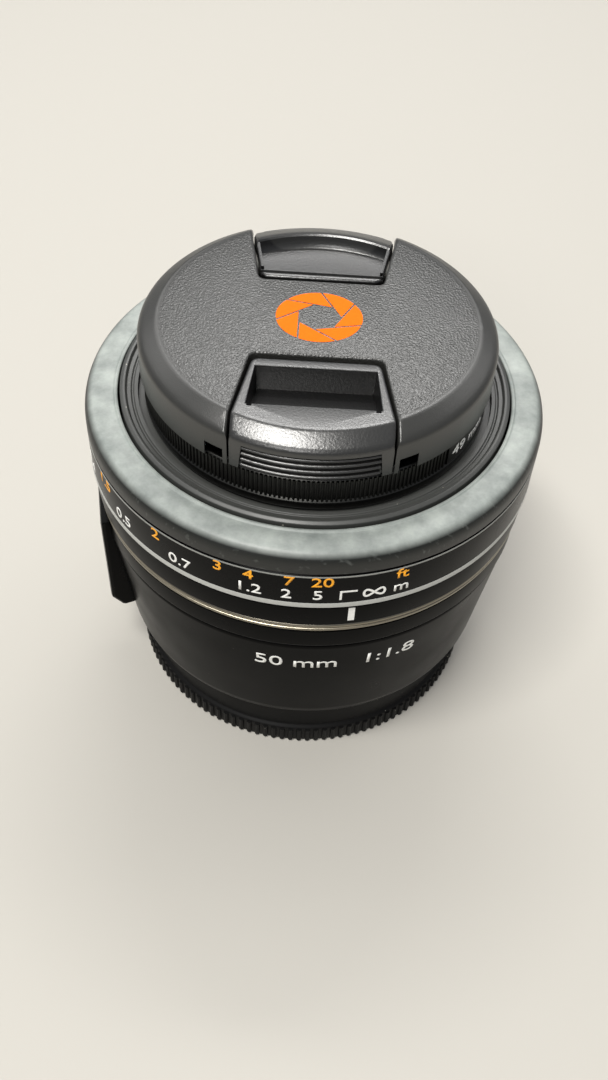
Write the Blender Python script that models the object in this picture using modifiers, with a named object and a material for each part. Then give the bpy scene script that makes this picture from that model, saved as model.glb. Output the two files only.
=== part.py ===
"""A 50 mm autofocus camera lens with its filter, front cap and rear cap.

Sizes are in millimetres, and become metres as each shape is made. The lens stands on its
rear cap. The optical axis is Z, the front of the lens is up, the focus index faces -Y and
the focus mode switch faces -X.
"""
import math

import bmesh
import bpy

MM = 0.001
GAP = 0.3  # clearance between pieces that touch

# Heights above the table, from the rear cap's foot to the front cap's top
RIM_TOP = 3.5
REAR_CAP_TOP = 11.2
FLANGE = 11.5
BARREL_FOOT = 11.8
BARREL_TOP = 34.6
UPPER_FOOT = BARREL_TOP + GAP
UPPER_TOP = 45.0
SCALE_FOOT = UPPER_TOP + GAP
SCALE_TOP = 52.4
GRIP_TOP = 56.2
FRONT_RIM = 57.0
FILTER_SEAT = 55.7
FILTER_TOP = 61.2
CAP_FOOT = 61.5
CAP_EDGE = 66.6
CAP_TOP = 68.6

# Outer radii
FOOT_RADIUS = 29.8
RING_RADIUS = 35.0
UPPER_RADIUS = 34.2
INDEX_RADIUS = 34.6
TUBE_RADIUS = 29.6
FILTER_RADIUS = 25.9
CAP_RADIUS = 26.3
CAP_FLAT_RADIUS = 23.65

# Focusing: the ring turns from infinity to the nearest distance, and the lens unit extends
GEAR_MODULE = 0.5
RING_TEETH, OUTPUT_TEETH, IDLER_SMALL, IDLER_LARGE, PINION_TEETH = 120, 18, 10, 14, 8
GEAR_AXIS_ANGLE = 150.0
IDLER_RADIUS = 23.3
MOTOR_RADIUS = 23.2

# Diaphragm
BLADES = 7
BLADE_PIVOT = 15.0
BLADE_CLOSED_TURN = 38.0
BLADE_PITCH = 0.45

# Front cap's pinch tabs: each slides towards the axis by its travel
TAB_INNER = 9.6
TAB_TRAVEL = 0.8
TAB_INNER_HALF = 9.0
TAB_OUTER_HALF = 11.0
TAB_SHOULDER = 21.0
TAB_FOOT = 63.6
WELL_INNER, WELL_OUTER, WELL_HALF = 11.3, 19.0, 8.2
WELL_FLOOR = 65.2
HOOK_INNER, HOOK_OUTER, HOOK_FOOT = 22.9, 24.2, 59.9

for stale in list(bpy.data.objects):
    bpy.data.objects.remove(stale, do_unlink=True)
lens = bpy.data.collections.new("prime_camera_lens")
cutters = bpy.data.collections.new("cutters")
cutters.hide_render = True
for made in (lens, cutters):
    bpy.context.scene.collection.children.link(made)


def finish(name, colour, roughness, metallic=0.0, transmission=0.0):
    """A plain Principled finish."""
    material = bpy.data.materials.new(name)
    material.use_nodes = True
    shader = material.node_tree.nodes["Principled BSDF"]
    shader.inputs["Base Color"].default_value = (*colour, 1.0)
    shader.inputs["Roughness"].default_value = roughness
    shader.inputs["Metallic"].default_value = metallic
    shader.inputs["Transmission Weight"].default_value = transmission
    return material


BLACK = finish("moulded_black_plastic", (0.012, 0.012, 0.013), 0.45)
MATT = finish("matt_black_plastic", (0.02, 0.02, 0.021), 0.7)
RUBBER = finish("grey_rubber", (0.17, 0.18, 0.19), 0.6)
CHAMPAGNE = finish("champagne_anodised_aluminium", (0.55, 0.47, 0.36), 0.3, 1.0)
ANODISED = finish("black_anodised_aluminium", (0.02, 0.02, 0.022), 0.35, 1.0)
STEEL = finish("bright_steel", (0.6, 0.6, 0.6), 0.3, 1.0)
GOLD = finish("gold_plated_brass", (0.8, 0.6, 0.25), 0.25, 1.0)
GEAR = finish("acetal_white", (0.75, 0.74, 0.7), 0.5)
BOARD = finish("circuit_board_green", (0.02, 0.16, 0.06), 0.5)
GLASS = finish("coated_glass", (0.85, 0.9, 0.95), 0.02, 0.0, 1.0)
BLADE = finish("blackened_steel_foil", (0.03, 0.03, 0.03), 0.5, 1.0)


def place(name, mesh_or_curve, material, where=(0, 0, 0), turn=0.0):
    """Put a shape in the lens collection, at a point given in millimetres."""
    piece = bpy.data.objects.new(name, mesh_or_curve)
    piece.location = [value * MM for value in where]
    piece.rotation_euler[2] = math.radians(turn)
    mesh_or_curve.materials.append(material)
    lens.objects.link(piece)
    return piece


def helper(name, mesh):
    """Put a cutting shape in the cutters' collection."""
    piece = bpy.data.objects.new(name, mesh)
    piece.hide_render = True
    piece.display_type = "WIRE"
    cutters.objects.link(piece)
    return piece


def mesh_of(name, shape):
    mesh = bpy.data.meshes.new(name)
    shape.to_mesh(mesh)
    shape.free()
    return mesh


def screwed(piece, steps):
    """Turn a profile about Z."""
    screw = piece.modifiers.new("turn", "SCREW")
    screw.steps = screw.render_steps = steps
    screw.use_merge_vertices = True
    screw.merge_threshold = 0.000001
    screw.use_smooth_shade = True
    return piece


def profile_mesh(name, points, closed):
    """A wire profile in the XZ plane, given as (radius, height)."""
    shape = bmesh.new()
    corners = [shape.verts.new((radius * MM, 0.0, height * MM)) for radius, height in points]
    last = len(corners) if closed else len(corners) - 1
    for index in range(last):
        shape.edges.new((corners[index], corners[(index + 1) % len(corners)]))
    return mesh_of(name, shape)


def turned(name, points, material, steps=36, closed=True, where=(0, 0, 0)):
    """A piece turned from a profile that runs down its outer side, top to bottom."""
    mesh = profile_mesh(name, points, closed)
    return screwed(place(name, mesh, material, where), steps)


def box_mesh(name, low, high):
    shape = bmesh.new()
    bmesh.ops.create_cube(shape, size=1.0)
    for corner in shape.verts:
        for axis in range(3):
            middle = (low[axis] + high[axis]) / 2
            corner.co[axis] = (middle + corner.co[axis] * (high[axis] - low[axis])) * MM
    return mesh_of(name, shape)


def rod_mesh(name, radius, low, high, centre=(0.0, 0.0), sides=16):
    shape = bmesh.new()
    bmesh.ops.create_cone(
        shape, cap_ends=True, segments=sides, radius1=radius * MM, radius2=radius * MM,
        depth=(high - low) * MM,
    )
    shift = (centre[0] * MM, centre[1] * MM, (low + high) / 2 * MM)
    bmesh.ops.translate(shape, verts=shape.verts, vec=shift)
    return mesh_of(name, shape)


def plate_mesh(name, outlines, low, high):
    """A flat outline, with any holes, extruded between two heights and made a mesh."""
    curve = bpy.data.curves.new(name, "CURVE")
    curve.dimensions = "2D"
    curve.fill_mode = "BOTH"
    curve.extrude = (high - low) / 2 * MM
    for outline in outlines:
        spline = curve.splines.new("POLY")
        spline.points.add(len(outline) - 1)
        for point, (x, y) in zip(spline.points, outline):
            point.co = (x * MM, y * MM, 0.0, 1.0)
        spline.use_cyclic_u = True
    holder = bpy.data.objects.new(name, curve)
    holder.location.z = (low + high) / 2 * MM
    bpy.context.scene.collection.objects.link(holder)
    bpy.context.view_layer.update()
    graph = bpy.context.evaluated_depsgraph_get()
    mesh = bpy.data.meshes.new_from_object(holder.evaluated_get(graph))
    mesh.transform(holder.matrix_world)
    bpy.data.objects.remove(holder, do_unlink=True)
    shape = bmesh.new()
    shape.from_mesh(mesh)
    bpy.data.meshes.remove(mesh)
    bmesh.ops.remove_doubles(shape, verts=shape.verts, dist=0.000001)
    bmesh.ops.recalc_face_normals(shape, faces=shape.faces)
    return mesh_of(name, shape)


def boolean(piece, other, operation="DIFFERENCE"):
    step = piece.modifiers.new(operation.lower(), "BOOLEAN")
    step.operation = operation
    step.object = other
    return piece


def cut(piece, *meshes):
    for mesh in meshes:
        boolean(piece, helper(piece.name + "_cutter", mesh))
    return piece


def join(piece, *meshes):
    for mesh in meshes:
        boolean(piece, helper(piece.name + "_added", mesh), "UNION")
    return piece


def polar(radius, degrees):
    angle = math.radians(degrees)
    return radius * math.cos(angle), radius * math.sin(angle)


def arc(radius, start, stop, steps):
    """Points along an arc, both ends included."""
    return [polar(radius, start + (stop - start) * i / steps) for i in range(steps + 1)]


def sector(inner, outer, start, stop, steps=8):
    """The outline of a piece of a ring."""
    return arc(outer, start, stop, steps) + arc(inner, stop, start, steps)


def involute(angle):
    return math.tan(angle) - angle


def gear_outline(teeth, phase=0.0, play=0.09, reach=(-1.15, 0.0, 0.9), first=0, count=None):
    """Involute teeth on one gear; reach gives the flank's depths in modules.

    play, in millimetres, is taken from each flank. A ring gear's spaces are the teeth of a
    gear with negative play.
    """
    pitch = GEAR_MODULE * teeth / 2
    pressure = math.radians(20)
    base = pitch * math.cos(pressure)
    half = math.pi / (2 * teeth) - play / pitch
    points = []
    for tooth in range(first, first + (teeth if count is None else count)):
        middle = math.radians(phase) + 2 * math.pi * tooth / teeth
        flank = []
        for depth in reach:
            radius = pitch + depth * GEAR_MODULE
            lean = math.acos(min(1.0, base / radius))
            flank.append((radius, half + involute(pressure) - involute(lean)))
        for radius, lean in flank:
            points.append(polar(radius, math.degrees(middle - lean)))
        for radius, lean in reversed(flank):
            points.append(polar(radius, math.degrees(middle + lean)))
    return points


# Rear cap: a shallow cup whose three claws hold the lens's bayonet lugs
CLAW_SPAN = 58.0
rear_cap = turned(
    "rear_cap",
    [(28.7, REAR_CAP_TOP), (28.7, RIM_TOP), (FOOT_RADIUS, RIM_TOP), (FOOT_RADIUS, 0),
     (0, 0), (0, 1.6), (27.0, 1.6), (27.0, 8.0), (23.3, 8.0), (23.3, 9.4), (27.0, 9.4),
     (27.0, REAR_CAP_TOP)],
    BLACK,
)
for start in (0, 120, 240):
    gap_sector = sector(22.0, 26.8, start + CLAW_SPAN, start + 120, 6)
    cut(rear_cap, plate_mesh("claw_gap", [gap_sector], 7.0, 10.4))

# Bayonet mount plate: flange, collar and three lugs, held by four screws
mount_plate = turned(
    "bayonet_mount_plate",
    [(28.8, 13.0), (28.8, FLANGE), (22.8, FLANGE), (22.8, 7.6), (24.7, 7.6), (24.7, 6.0),
     (20.6, 6.0), (20.6, 13.0)],
    STEEL,
)
for start in (0, 120, 240):
    lug_gap = sector(23.0, 25.5, start + CLAW_SPAN, start + 120, 6)
    cut(mount_plate, plate_mesh("lug_gap", [lug_gap], 5.0, 7.9))
SCREW_CIRCLE = 26.4
SCREW_ANGLES = (20, 110, 200, 290)
for angle in SCREW_ANGLES:
    cut(mount_plate, rod_mesh("screw_hole", 1.75, 10.0, 14.0, polar(SCREW_CIRCLE, angle)))

# Main barrel: a tapered shell with an inward foot that the mount plate is screwed to
main_barrel = turned(
    "main_barrel",
    [(33.6, BARREL_TOP), (33.9, 34.2), (31.4, 13.0), (30.9, BARREL_FOOT),
     (29.1, BARREL_FOOT), (29.1, 13.3), (23.4, 13.3), (23.4, 14.8), (29.8, 14.8),
     (32.4, BARREL_TOP)],
    BLACK,
)
for number, angle in enumerate(SCREW_ANGLES, 1):
    x, y = polar(SCREW_CIRCLE, angle)
    cut(main_barrel, rod_mesh("screw_hole", 1.1, 13.0, 15.0, (x, y), 12))
    turned(
        f"mount_screw_{number}",
        [(0, 14.4), (0.75, 14.4), (0.75, 12.3), (1.4, 12.3), (1.4, FLANGE + 0.1),
         (0, FLANGE + 0.1)],
        STEEL, steps=12, closed=False, where=(x, y, 0),
    )

upper_barrel = turned(
    "upper_barrel",
    [(INDEX_RADIUS, UPPER_TOP), (INDEX_RADIUS, 40.8), (33.2, 40.8), (33.2, 38.6),
     (UPPER_RADIUS, 38.6), (UPPER_RADIUS, 35.1), (34.0, UPPER_FOOT), (32.6, UPPER_FOOT),
     (32.6, UPPER_TOP)],
    BLACK,
)
turned(
    "trim_ring",
    [(34.2, 40.5), (34.4, 40.2), (34.4, 39.2), (34.2, 38.9), (33.5, 38.9), (33.5, 40.5)],
    CHAMPAGNE,
)

# Focus mode switch: a raised pad on the barrel's side and a slider that runs along Z
SWITCH_ANGLE = -168.0
SLIDER_LOW, SLIDER_HIGH = 26.6, 30.4
SLIDER_TRAVEL = 3.0
PAD_HALF_ANGLE, KNOB_HALF_ANGLE = 14, 3.8
switch_plate = turned(
    "focus_switch_plate",
    [(34.8, 38.2), (RING_RADIUS, 38.0), (RING_RADIUS, 20.0), (33.0, 16.8), (32.2, 16.8),
     (34.5, 34.6), (34.5, 38.2)],
    BLACK, steps=72,
)
pad = sector(20.0, 40.0, SWITCH_ANGLE - PAD_HALF_ANGLE, SWITCH_ANGLE + PAD_HALF_ANGLE, 4)
boolean(switch_plate, helper("switch_pad", plate_mesh("switch_pad", [pad], 10, 45)), "INTERSECT")
slot = sector(34.2, 36.0, SWITCH_ANGLE - 4.5, SWITCH_ANGLE + 4.5, 4)
slot_low = SLIDER_LOW - SLIDER_TRAVEL - GAP
cut(switch_plate, plate_mesh("slider_slot", [slot], slot_low, SLIDER_HIGH + GAP))
knob = sector(34.5, 34.95, SWITCH_ANGLE - KNOB_HALF_ANGLE, SWITCH_ANGLE + KNOB_HALF_ANGLE, 4)
place("focus_mode_slider", plate_mesh("focus_mode_slider", [knob], SLIDER_LOW, SLIDER_HIGH), MATT)

# Guide tube: fixed, with three straight keyways that stop the front tube from turning
KEY_ANGLES = (30, 210, 330)
guide_tube = turned(
    "guide_tube",
    [(28.9, 46.0), (28.9, 15.2), (28.0, 15.2), (28.0, 46.0)],
    ANODISED,
)
for angle in KEY_ANGLES:
    key_slot = sector(27.0, 30.0, angle - 2.6, angle + 2.6, 1)
    cut(guide_tube, plate_mesh("keyway", [key_slot], 31.6, 45.0))
gear_window = sector(27.0, 30.0, GEAR_AXIS_ANGLE - 13, GEAR_AXIS_ANGLE + 13, 2)
cut(guide_tube, plate_mesh("gear_window", [gear_window], 26.6, 30.2))

# Electronics: a circuit board round the rear, and the contact block with its eight pins
place(
    "circuit_board",
    plate_mesh("circuit_board", [sector(19.2, 27.4, -150, 100, 20)], 15.2, 16.2),
    BOARD,
)
CONTACT_CIRCLE = 18.3
CONTACT_ANGLES = [-90 + 7.6 * (i - 3.5) for i in range(8)]
contact_block = place(
    "contact_block",
    plate_mesh("contact_block", [sector(16.6, 20.2, -124, -56, 12)], 7.0, 10.4),
    MATT,
)
for number, angle in enumerate(CONTACT_ANGLES, 1):
    x, y = polar(CONTACT_CIRCLE, angle)
    cut(contact_block, rod_mesh("contact_hole", 0.85, 6.0, 11.0, (x, y), 8))
    place(f"contact_pin_{number}", rod_mesh("contact_pin", 0.55, 6.4, 10.2, (x, y), 8), GOLD)

# Rear baffle: a light shield in the mount's throat, notched for the aperture lever
rear_baffle = turned("rear_baffle", [(20.3, 12.6), (20.3, 11.8), (15.3, 11.8), (15.3, 12.6)], MATT)
cut(rear_baffle, plate_mesh("lever_notch", [sector(15.9, 20.9, 35, 85, 6)], 11.0, 13.2))

# Focus ring: numbered scale ring, rubber grip, the drive sleeve under both, and its gear ring
turned(
    "focus_scale_ring",
    [(34.8, SCALE_TOP), (RING_RADIUS, 52.2), (RING_RADIUS, 45.5), (34.8, SCALE_FOOT),
     (32.4, SCALE_FOOT), (32.4, SCALE_TOP)],
    BLACK,
)
turned(
    "focus_rubber_grip",
    [(33.9, GRIP_TOP), (34.6, 55.95), (RING_RADIUS, 55.3), (RING_RADIUS, 52.7), (33.9, 52.7),
     (33.9, 54.7), (30.4, 54.7), (30.4, GRIP_TOP), (31.0, 56.3)],
    RUBBER,
)
turned(
    "focus_drive_sleeve",
    [(33.6, 54.4), (33.6, 52.7), (32.1, 52.7), (32.1, 48.0), (30.9, 47.0), (30.9, 29.9),
     (29.9, 29.9), (29.9, 49.5), (30.4, 50.0), (30.4, 54.4)],
    ANODISED,
)
FOCUS_TEETH = 40  # the ring gear has teeth only where the output gear can reach
tooth_step = 360.0 / RING_TEETH
spaces = gear_outline(
    RING_TEETH, GEAR_AXIS_ANGLE, play=-0.09, reach=(-0.85, 1.2),
    first=3 - FOCUS_TEETH, count=FOCUS_TEETH,
)
plain_start = GEAR_AXIS_ANGLE + 4 * tooth_step
plain_stop = GEAR_AXIS_ANGLE + 360 - FOCUS_TEETH * tooth_step + 2 * tooth_step
inner_edge = spaces + arc(29.575, plain_start, plain_stop, 36)
place(
    "focus_gear_ring",
    plate_mesh("focus_gear_ring", [arc(31.0, 0, 350, 35), inner_edge], 27.0, 29.6),
    GEAR,
)

# Drive train: motor, pinion, compound idler and output gear, all on axes along Z
output_centre = polar(GEAR_MODULE * (RING_TEETH - OUTPUT_TEETH) / 2, GEAR_AXIS_ANGLE)


def next_centre(from_radius, from_angle, radius, distance):
    """The angle of the next axis in the train, on its own circle, at a gear's distance."""
    cosine = (from_radius ** 2 + radius ** 2 - distance ** 2) / (2 * from_radius * radius)
    return from_angle + math.degrees(math.acos(cosine))


def meshing_phase(from_centre, from_phase, from_teeth, centre, teeth):
    """The turn that puts a gear's space where the driving gear's tooth meets it."""
    line = math.degrees(math.atan2(centre[1] - from_centre[1], centre[0] - from_centre[0]))
    share = (line - from_phase) * from_teeth / 360.0
    return line + 180.0 - (0.5 - share) * 360.0 / teeth


output_radius = math.hypot(*output_centre)
idler_angle = next_centre(output_radius, GEAR_AXIS_ANGLE, IDLER_RADIUS,
                          GEAR_MODULE * (OUTPUT_TEETH + IDLER_SMALL) / 2)
idler_centre = polar(IDLER_RADIUS, idler_angle)
motor_angle = next_centre(IDLER_RADIUS, idler_angle, MOTOR_RADIUS,
                          GEAR_MODULE * (IDLER_LARGE + PINION_TEETH) / 2)
motor_centre = polar(MOTOR_RADIUS, motor_angle)
idler_phase = meshing_phase(output_centre, GEAR_AXIS_ANGLE, OUTPUT_TEETH, idler_centre,
                            IDLER_SMALL)
pinion_phase = meshing_phase(idler_centre, idler_phase, IDLER_LARGE, motor_centre,
                             PINION_TEETH)


def gear(name, teeth, phase, centre, low, high):
    mesh = plate_mesh(name, [gear_outline(teeth, phase)], low, high)
    return place(name, mesh, GEAR, (*centre, 0))


gear("output_gear", OUTPUT_TEETH, GEAR_AXIS_ANGLE, output_centre, 27.2, 29.4)
idler = gear("idler_gear", IDLER_LARGE, idler_phase, idler_centre, 25.5, 27.0)
small_gear = helper("idler_small_teeth", plate_mesh(
    "idler_small_teeth", [gear_outline(IDLER_SMALL, idler_phase)], 26.6, 29.4))
small_gear.location = idler.location
boolean(idler, small_gear, "UNION")
gear("motor_pinion", PINION_TEETH, pinion_phase, motor_centre, 25.5, 27.0)
turned(
    "focus_motor",
    [(0, 25.2), (4.1, 25.2), (4.2, 24.8), (4.2, 15.2), (0, 15.2)],
    STEEL, steps=24, closed=False, where=(*motor_centre, 0),
)

# Front tube: carries the optics and the filter thread, and slides out as the lens focuses
front_tube = turned(
    "front_tube",
    [(29.4, FRONT_RIM), (TUBE_RADIUS, 56.8), (TUBE_RADIUS, 52.5), (27.6, 51.2),
     (27.6, 31.0), (26.2, 31.0), (26.2, 41.0), (20.2, 41.0), (20.2, 42.4), (25.6, 42.4),
     (25.6, 50.6), (24.8, 51.2), (24.8, 55.3), (26.9, 55.3), (26.9, 56.4), (28.7, 56.4),
     (28.8, FRONT_RIM)],
    BLACK,
)
for angle in KEY_ANGLES:
    key = sector(27.0, 28.7, angle - 1.9, angle + 1.9, 1)
    join(front_tube, plate_mesh("key", [key], 32.2, 33.6))
turned(
    "name_ring",
    [(24.4, 52.0), (24.4, 50.8), (17.0, 45.6), (16.2, 45.6), (16.2, 46.3)],
    BLACK, steps=32,
)
turned(
    "front_lens_cell",
    [(22.0, 43.9), (22.0, 42.7), (19.8, 42.7), (19.8, 31.2), (12.4, 31.2), (12.4, 31.9),
     (13.5, 31.9), (13.5, 34.6), (14.4, 34.6), (14.4, 38.9), (15.8, 38.9), (15.8, 44.6),
     (18.6, 44.6), (18.6, 43.9)],
    ANODISED, steps=32,
)
turned(
    "rear_lens_cell",
    [(18.2, 25.6), (18.2, 24.4), (14.4, 24.4), (14.4, 9.2), (11.9, 9.2), (11.9, 10.0),
     (12.9, 10.0), (12.9, 25.6)],
    ANODISED, steps=32,
)


def dome(radius, edge, sag, steps=3):
    """Half of a spherical face, from the axis out to its edge, as (radius, height)."""
    return [(radius * i / steps, edge + sag * (1 - (i / steps) ** 2)) for i in range(steps + 1)]


# Six elements in five groups: radius, edge height of each face, and how far each bulges up
ELEMENTS = [
    (15.5, 41.4, 3.0, 39.4, -0.3),
    (14.1, 37.2, 1.5, 35.2, 0.6),
    (13.2, 34.2, 0.2, 32.2, 1.3),
    (12.6, 24.2, -1.4, 21.4, 0.9),
    (12.6, 21.2, 0.9, 17.6, -0.8),
    (12.6, 14.4, 1.2, 12.0, -1.0),
]
for number, (radius, top, top_sag, foot, foot_sag) in enumerate(ELEMENTS, 1):
    outline = dome(radius, top, top_sag) + list(reversed(dome(radius, foot, foot_sag)))
    turned(f"lens_element_{number}", outline, GLASS, steps=24, closed=False)

# Diaphragm: base plate, seven blades on pivots, the ring that turns them, and the lever
turned("diaphragm_base", [(18.2, 26.6), (18.2, 25.9), (10.4, 25.9), (10.4, 26.6)], MATT, steps=32)
turned("diaphragm_ring", [(18.2, 30.8), (18.2, 30.2), (16.4, 30.2), (16.4, 30.8)], MATT, steps=32)
for number in range(BLADES):
    pivot_angle = 360.0 * number / BLADES
    centre = polar(BLADE_PIVOT, pivot_angle)
    outline = [(x - centre[0], y - centre[1])
               for x, y in sector(12.4, 16.2, pivot_angle - 4, pivot_angle + 96, 10)]
    low = 26.95 + BLADE_PITCH * number
    mesh = plate_mesh(f"diaphragm_blade_{number + 1}", [outline], low, low + 0.15)
    place(f"diaphragm_blade_{number + 1}", mesh, BLADE, (*centre, 0), BLADE_CLOSED_TURN)
aperture_lever = turned(
    "aperture_lever",
    [(22.4, 14.4), (22.4, 13.3), (16.2, 13.3), (16.2, 14.4)],
    STEEL, steps=32,
)
lever_arm = sector(17.2, 18.4, 42, 48, 1)
join(aperture_lever, plate_mesh("lever_arm", [lever_arm], 7.2, 13.8))

# Screw-in filter: a ring with a male thread below, the glass and its retaining ring
turned(
    "filter_ring",
    [(25.6, FILTER_TOP), (FILTER_RADIUS, 61.0), (FILTER_RADIUS, FILTER_SEAT),
     (24.45, FILTER_SEAT), (24.45, 53.0), (22.8, 53.0), (22.8, 56.6), (24.6, 56.6),
     (24.6, FILTER_TOP)],
    ANODISED,
)
turned("filter_glass", [(0, 58.4), (24.2, 58.4), (24.2, 56.9), (0, 56.9)], GLASS,
       steps=32, closed=False)
turned("filter_retaining_ring", [(24.2, 59.5), (24.2, 58.7), (22.9, 58.7), (22.9, 59.5)],
       ANODISED, steps=32)

# Front cap: a cover with two slots for the pinch tabs, a back plate and two springs
cap_cover = turned(
    "front_cap_cover",
    [(0, CAP_TOP), (CAP_FLAT_RADIUS, CAP_TOP), (25.6, 67.4), (CAP_RADIUS, CAP_EDGE),
     (CAP_RADIUS, CAP_FOOT), (24.9, CAP_FOOT), (24.9, 66.0), (24.0, 67.1), (0, 67.1)],
    BLACK, closed=False,
)


def tab_outline(side, room=0.0, inner_room=0.0):
    """A tab seen from the front: narrow at its inner edge, with straight outer sides."""
    inner = TAB_INNER - inner_room
    half = TAB_INNER_HALF + room
    wide = TAB_OUTER_HALF + room
    right = [(half - 1.0, inner), (half - 0.2, inner + 0.3), (half + 0.1, inner + 1.0),
             (wide, TAB_SHOULDER), (wide, CAP_RADIUS + 4.0)]
    points = right + [(-x, y) for x, y in reversed(right)]
    return [(x * side, y * side) for x, y in points]


def side_box(name, x_range, y_range, z_range, side=1):
    """A box whose Y range is measured outwards from the axis on one side of the cap."""
    low_y, high_y = sorted((y_range[0] * side, y_range[1] * side))
    return box_mesh(name, (x_range[0], low_y, z_range[0]), (x_range[1], high_y, z_range[1]))


SIDES = (("front", -1, -90), ("rear", 1, 90))
WINDOW_X = (11.9, 14.5)  # windows in the skirt, on both sides of each tab
WINDOW_TOP = 64.0
for _, side, _ in SIDES:
    slot = tab_outline(side, GAP, TAB_TRAVEL + 0.2)
    cut(cap_cover, plate_mesh("tab_slot", [slot], CAP_FOOT - 1, CAP_TOP + 1))
    for low_x, high_x in (WINDOW_X, (-WINDOW_X[1], -WINDOW_X[0])):
        cut(cap_cover, side_box("skirt_window", (low_x, high_x), (20, 27), (60, WINDOW_TOP), side))
join(cap_cover, box_mesh("cap_rib", (-9.0, -0.6, 63.0), (9.0, 0.6, 67.6)))

cap_back = place(
    "front_cap_back_plate", rod_mesh("front_cap_back_plate", 24.3, 61.6, 62.6, sides=48), BLACK,
)
for _, side, _ in SIDES:
    cut(cap_back, side_box("hook_room", (-16.0, 16.0), (17.2, 26.0), (61, 63), side))

GROOVE_HEIGHTS = (62.5, 64.0, 65.5)
for side_name, side, middle in SIDES:
    tab = turned(
        f"pinch_tab_{side_name}",
        [(0, CAP_TOP), (CAP_FLAT_RADIUS, CAP_TOP), (25.6, 67.4), (CAP_RADIUS, CAP_EDGE),
         (CAP_RADIUS, CAP_FOOT + 0.2), (HOOK_OUTER, CAP_FOOT + 0.2), (HOOK_OUTER, HOOK_FOOT),
         (HOOK_INNER, HOOK_FOOT), (HOOK_INNER, TAB_FOOT), (0, TAB_FOOT)],
        BLACK, closed=False,
    )
    boolean(tab, helper("tab_shape", plate_mesh("tab_shape", [tab_outline(side)], 58, 70)),
            "INTERSECT")
    well = ((-WELL_HALF, WELL_HALF), (WELL_INNER, WELL_OUTER), (WELL_FLOOR, CAP_TOP + 1))
    cut(tab, side_box("finger_well", *well, side))
    for height in GROOVE_HEIGHTS:
        groove = sector(25.95, 27.0, middle - 20, middle + 20, 8)
        cut(tab, plate_mesh("grip_groove", [groove], height, height + 0.5))
    for low_x, high_x in ((WELL_HALF, 12.0), (-12.0, -WELL_HALF)):
        end = side_box("hook_end", (low_x, high_x), (22.0, 26.0), (58, CAP_FOOT + 0.2), side)
        cut(tab, end)

SPRING_RADIUS, SPRING_WIRE, SPRING_TURNS = 1.3, 0.22, 4
SPRING_START, SPRING_STOP, SPRING_HEIGHT = 1.2, 9.1, 65.2
SPRING_CORNERS = 8  # points in each turn
for side_name, side, _ in SIDES:
    curve = bpy.data.curves.new(f"cap_spring_{side_name}", "CURVE")
    curve.dimensions = "3D"
    curve.bevel_depth = SPRING_WIRE * MM
    curve.bevel_resolution = 1
    curve.use_fill_caps = True
    spline = curve.splines.new("POLY")
    steps = SPRING_TURNS * SPRING_CORNERS
    spline.points.add(steps)
    for index, point in enumerate(spline.points):
        x, z = polar(SPRING_RADIUS, 360.0 / SPRING_CORNERS * index)
        along = SPRING_START + (SPRING_STOP - SPRING_START) * index / steps
        point.co = (x * MM, along * side * MM, (SPRING_HEIGHT + z) * MM, 1.0)
    place(f"cap_spring_{side_name}", curve, STEEL)

for piece in lens.objects:
    if piece.type == "MESH" and not piece.modifiers:
        piece.data.set_sharp_from_angle(angle=math.radians(35))
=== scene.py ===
"""Looks for a 50 mm autofocus camera lens, in the order it goes together, from its rear cap up
to its front cap. Sizes are in millimetres and angles in degrees about the optical axis Z."""
import itertools
import math

import bmesh
import bpy
import numpy as np
from mathutils import Matrix, Vector
from mathutils.geometry import delaunay_2d_cdt


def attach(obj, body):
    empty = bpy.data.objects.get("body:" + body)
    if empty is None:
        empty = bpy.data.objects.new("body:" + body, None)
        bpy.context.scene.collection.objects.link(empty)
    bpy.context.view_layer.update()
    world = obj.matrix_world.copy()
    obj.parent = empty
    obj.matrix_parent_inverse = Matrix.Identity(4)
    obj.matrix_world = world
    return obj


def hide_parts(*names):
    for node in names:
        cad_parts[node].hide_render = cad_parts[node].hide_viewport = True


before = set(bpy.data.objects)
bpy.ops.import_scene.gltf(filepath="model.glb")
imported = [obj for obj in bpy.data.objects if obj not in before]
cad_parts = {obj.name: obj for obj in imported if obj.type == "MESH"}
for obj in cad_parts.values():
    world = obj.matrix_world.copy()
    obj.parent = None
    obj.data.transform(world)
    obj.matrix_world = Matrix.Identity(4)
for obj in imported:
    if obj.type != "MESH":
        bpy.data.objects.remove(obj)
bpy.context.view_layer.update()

# --- Rear cap -----------------------------------------------------------------------------
# A shallow bayonet cup, injection moulded in black ABS with a spark-eroded grain. Scallops
# round its rim give the fingers a hold; it twists on to the mount by three claws.
MM = 0.001
AROUND = 180  # facets round the axis of a turned piece
WELD = 1e-6  # metres within which doubled points are merged


def node(tree, kind, inputs=None, **settings):
    """Add a node: inputs are values or the sockets that feed them, settings are its own."""
    made = tree.nodes.new(kind)
    for key, value in settings.items():
        setattr(made, key, value)
    for socket, value in (inputs or {}).items():
        if isinstance(value, bpy.types.NodeSocket):
            tree.links.new(value, made.inputs[socket])
        else:
            made.inputs[socket].default_value = value
    return made


def linear(code):
    """An sRGB hex colour as linear light, with its alpha."""
    values = [int(code[i:i + 2], 16) / 255 for i in (1, 3, 5)]
    values = [v / 12.92 if v <= 0.04045 else ((v + 0.055) / 1.055) ** 2.4 for v in values]
    return (*values, 1.0)


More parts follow.
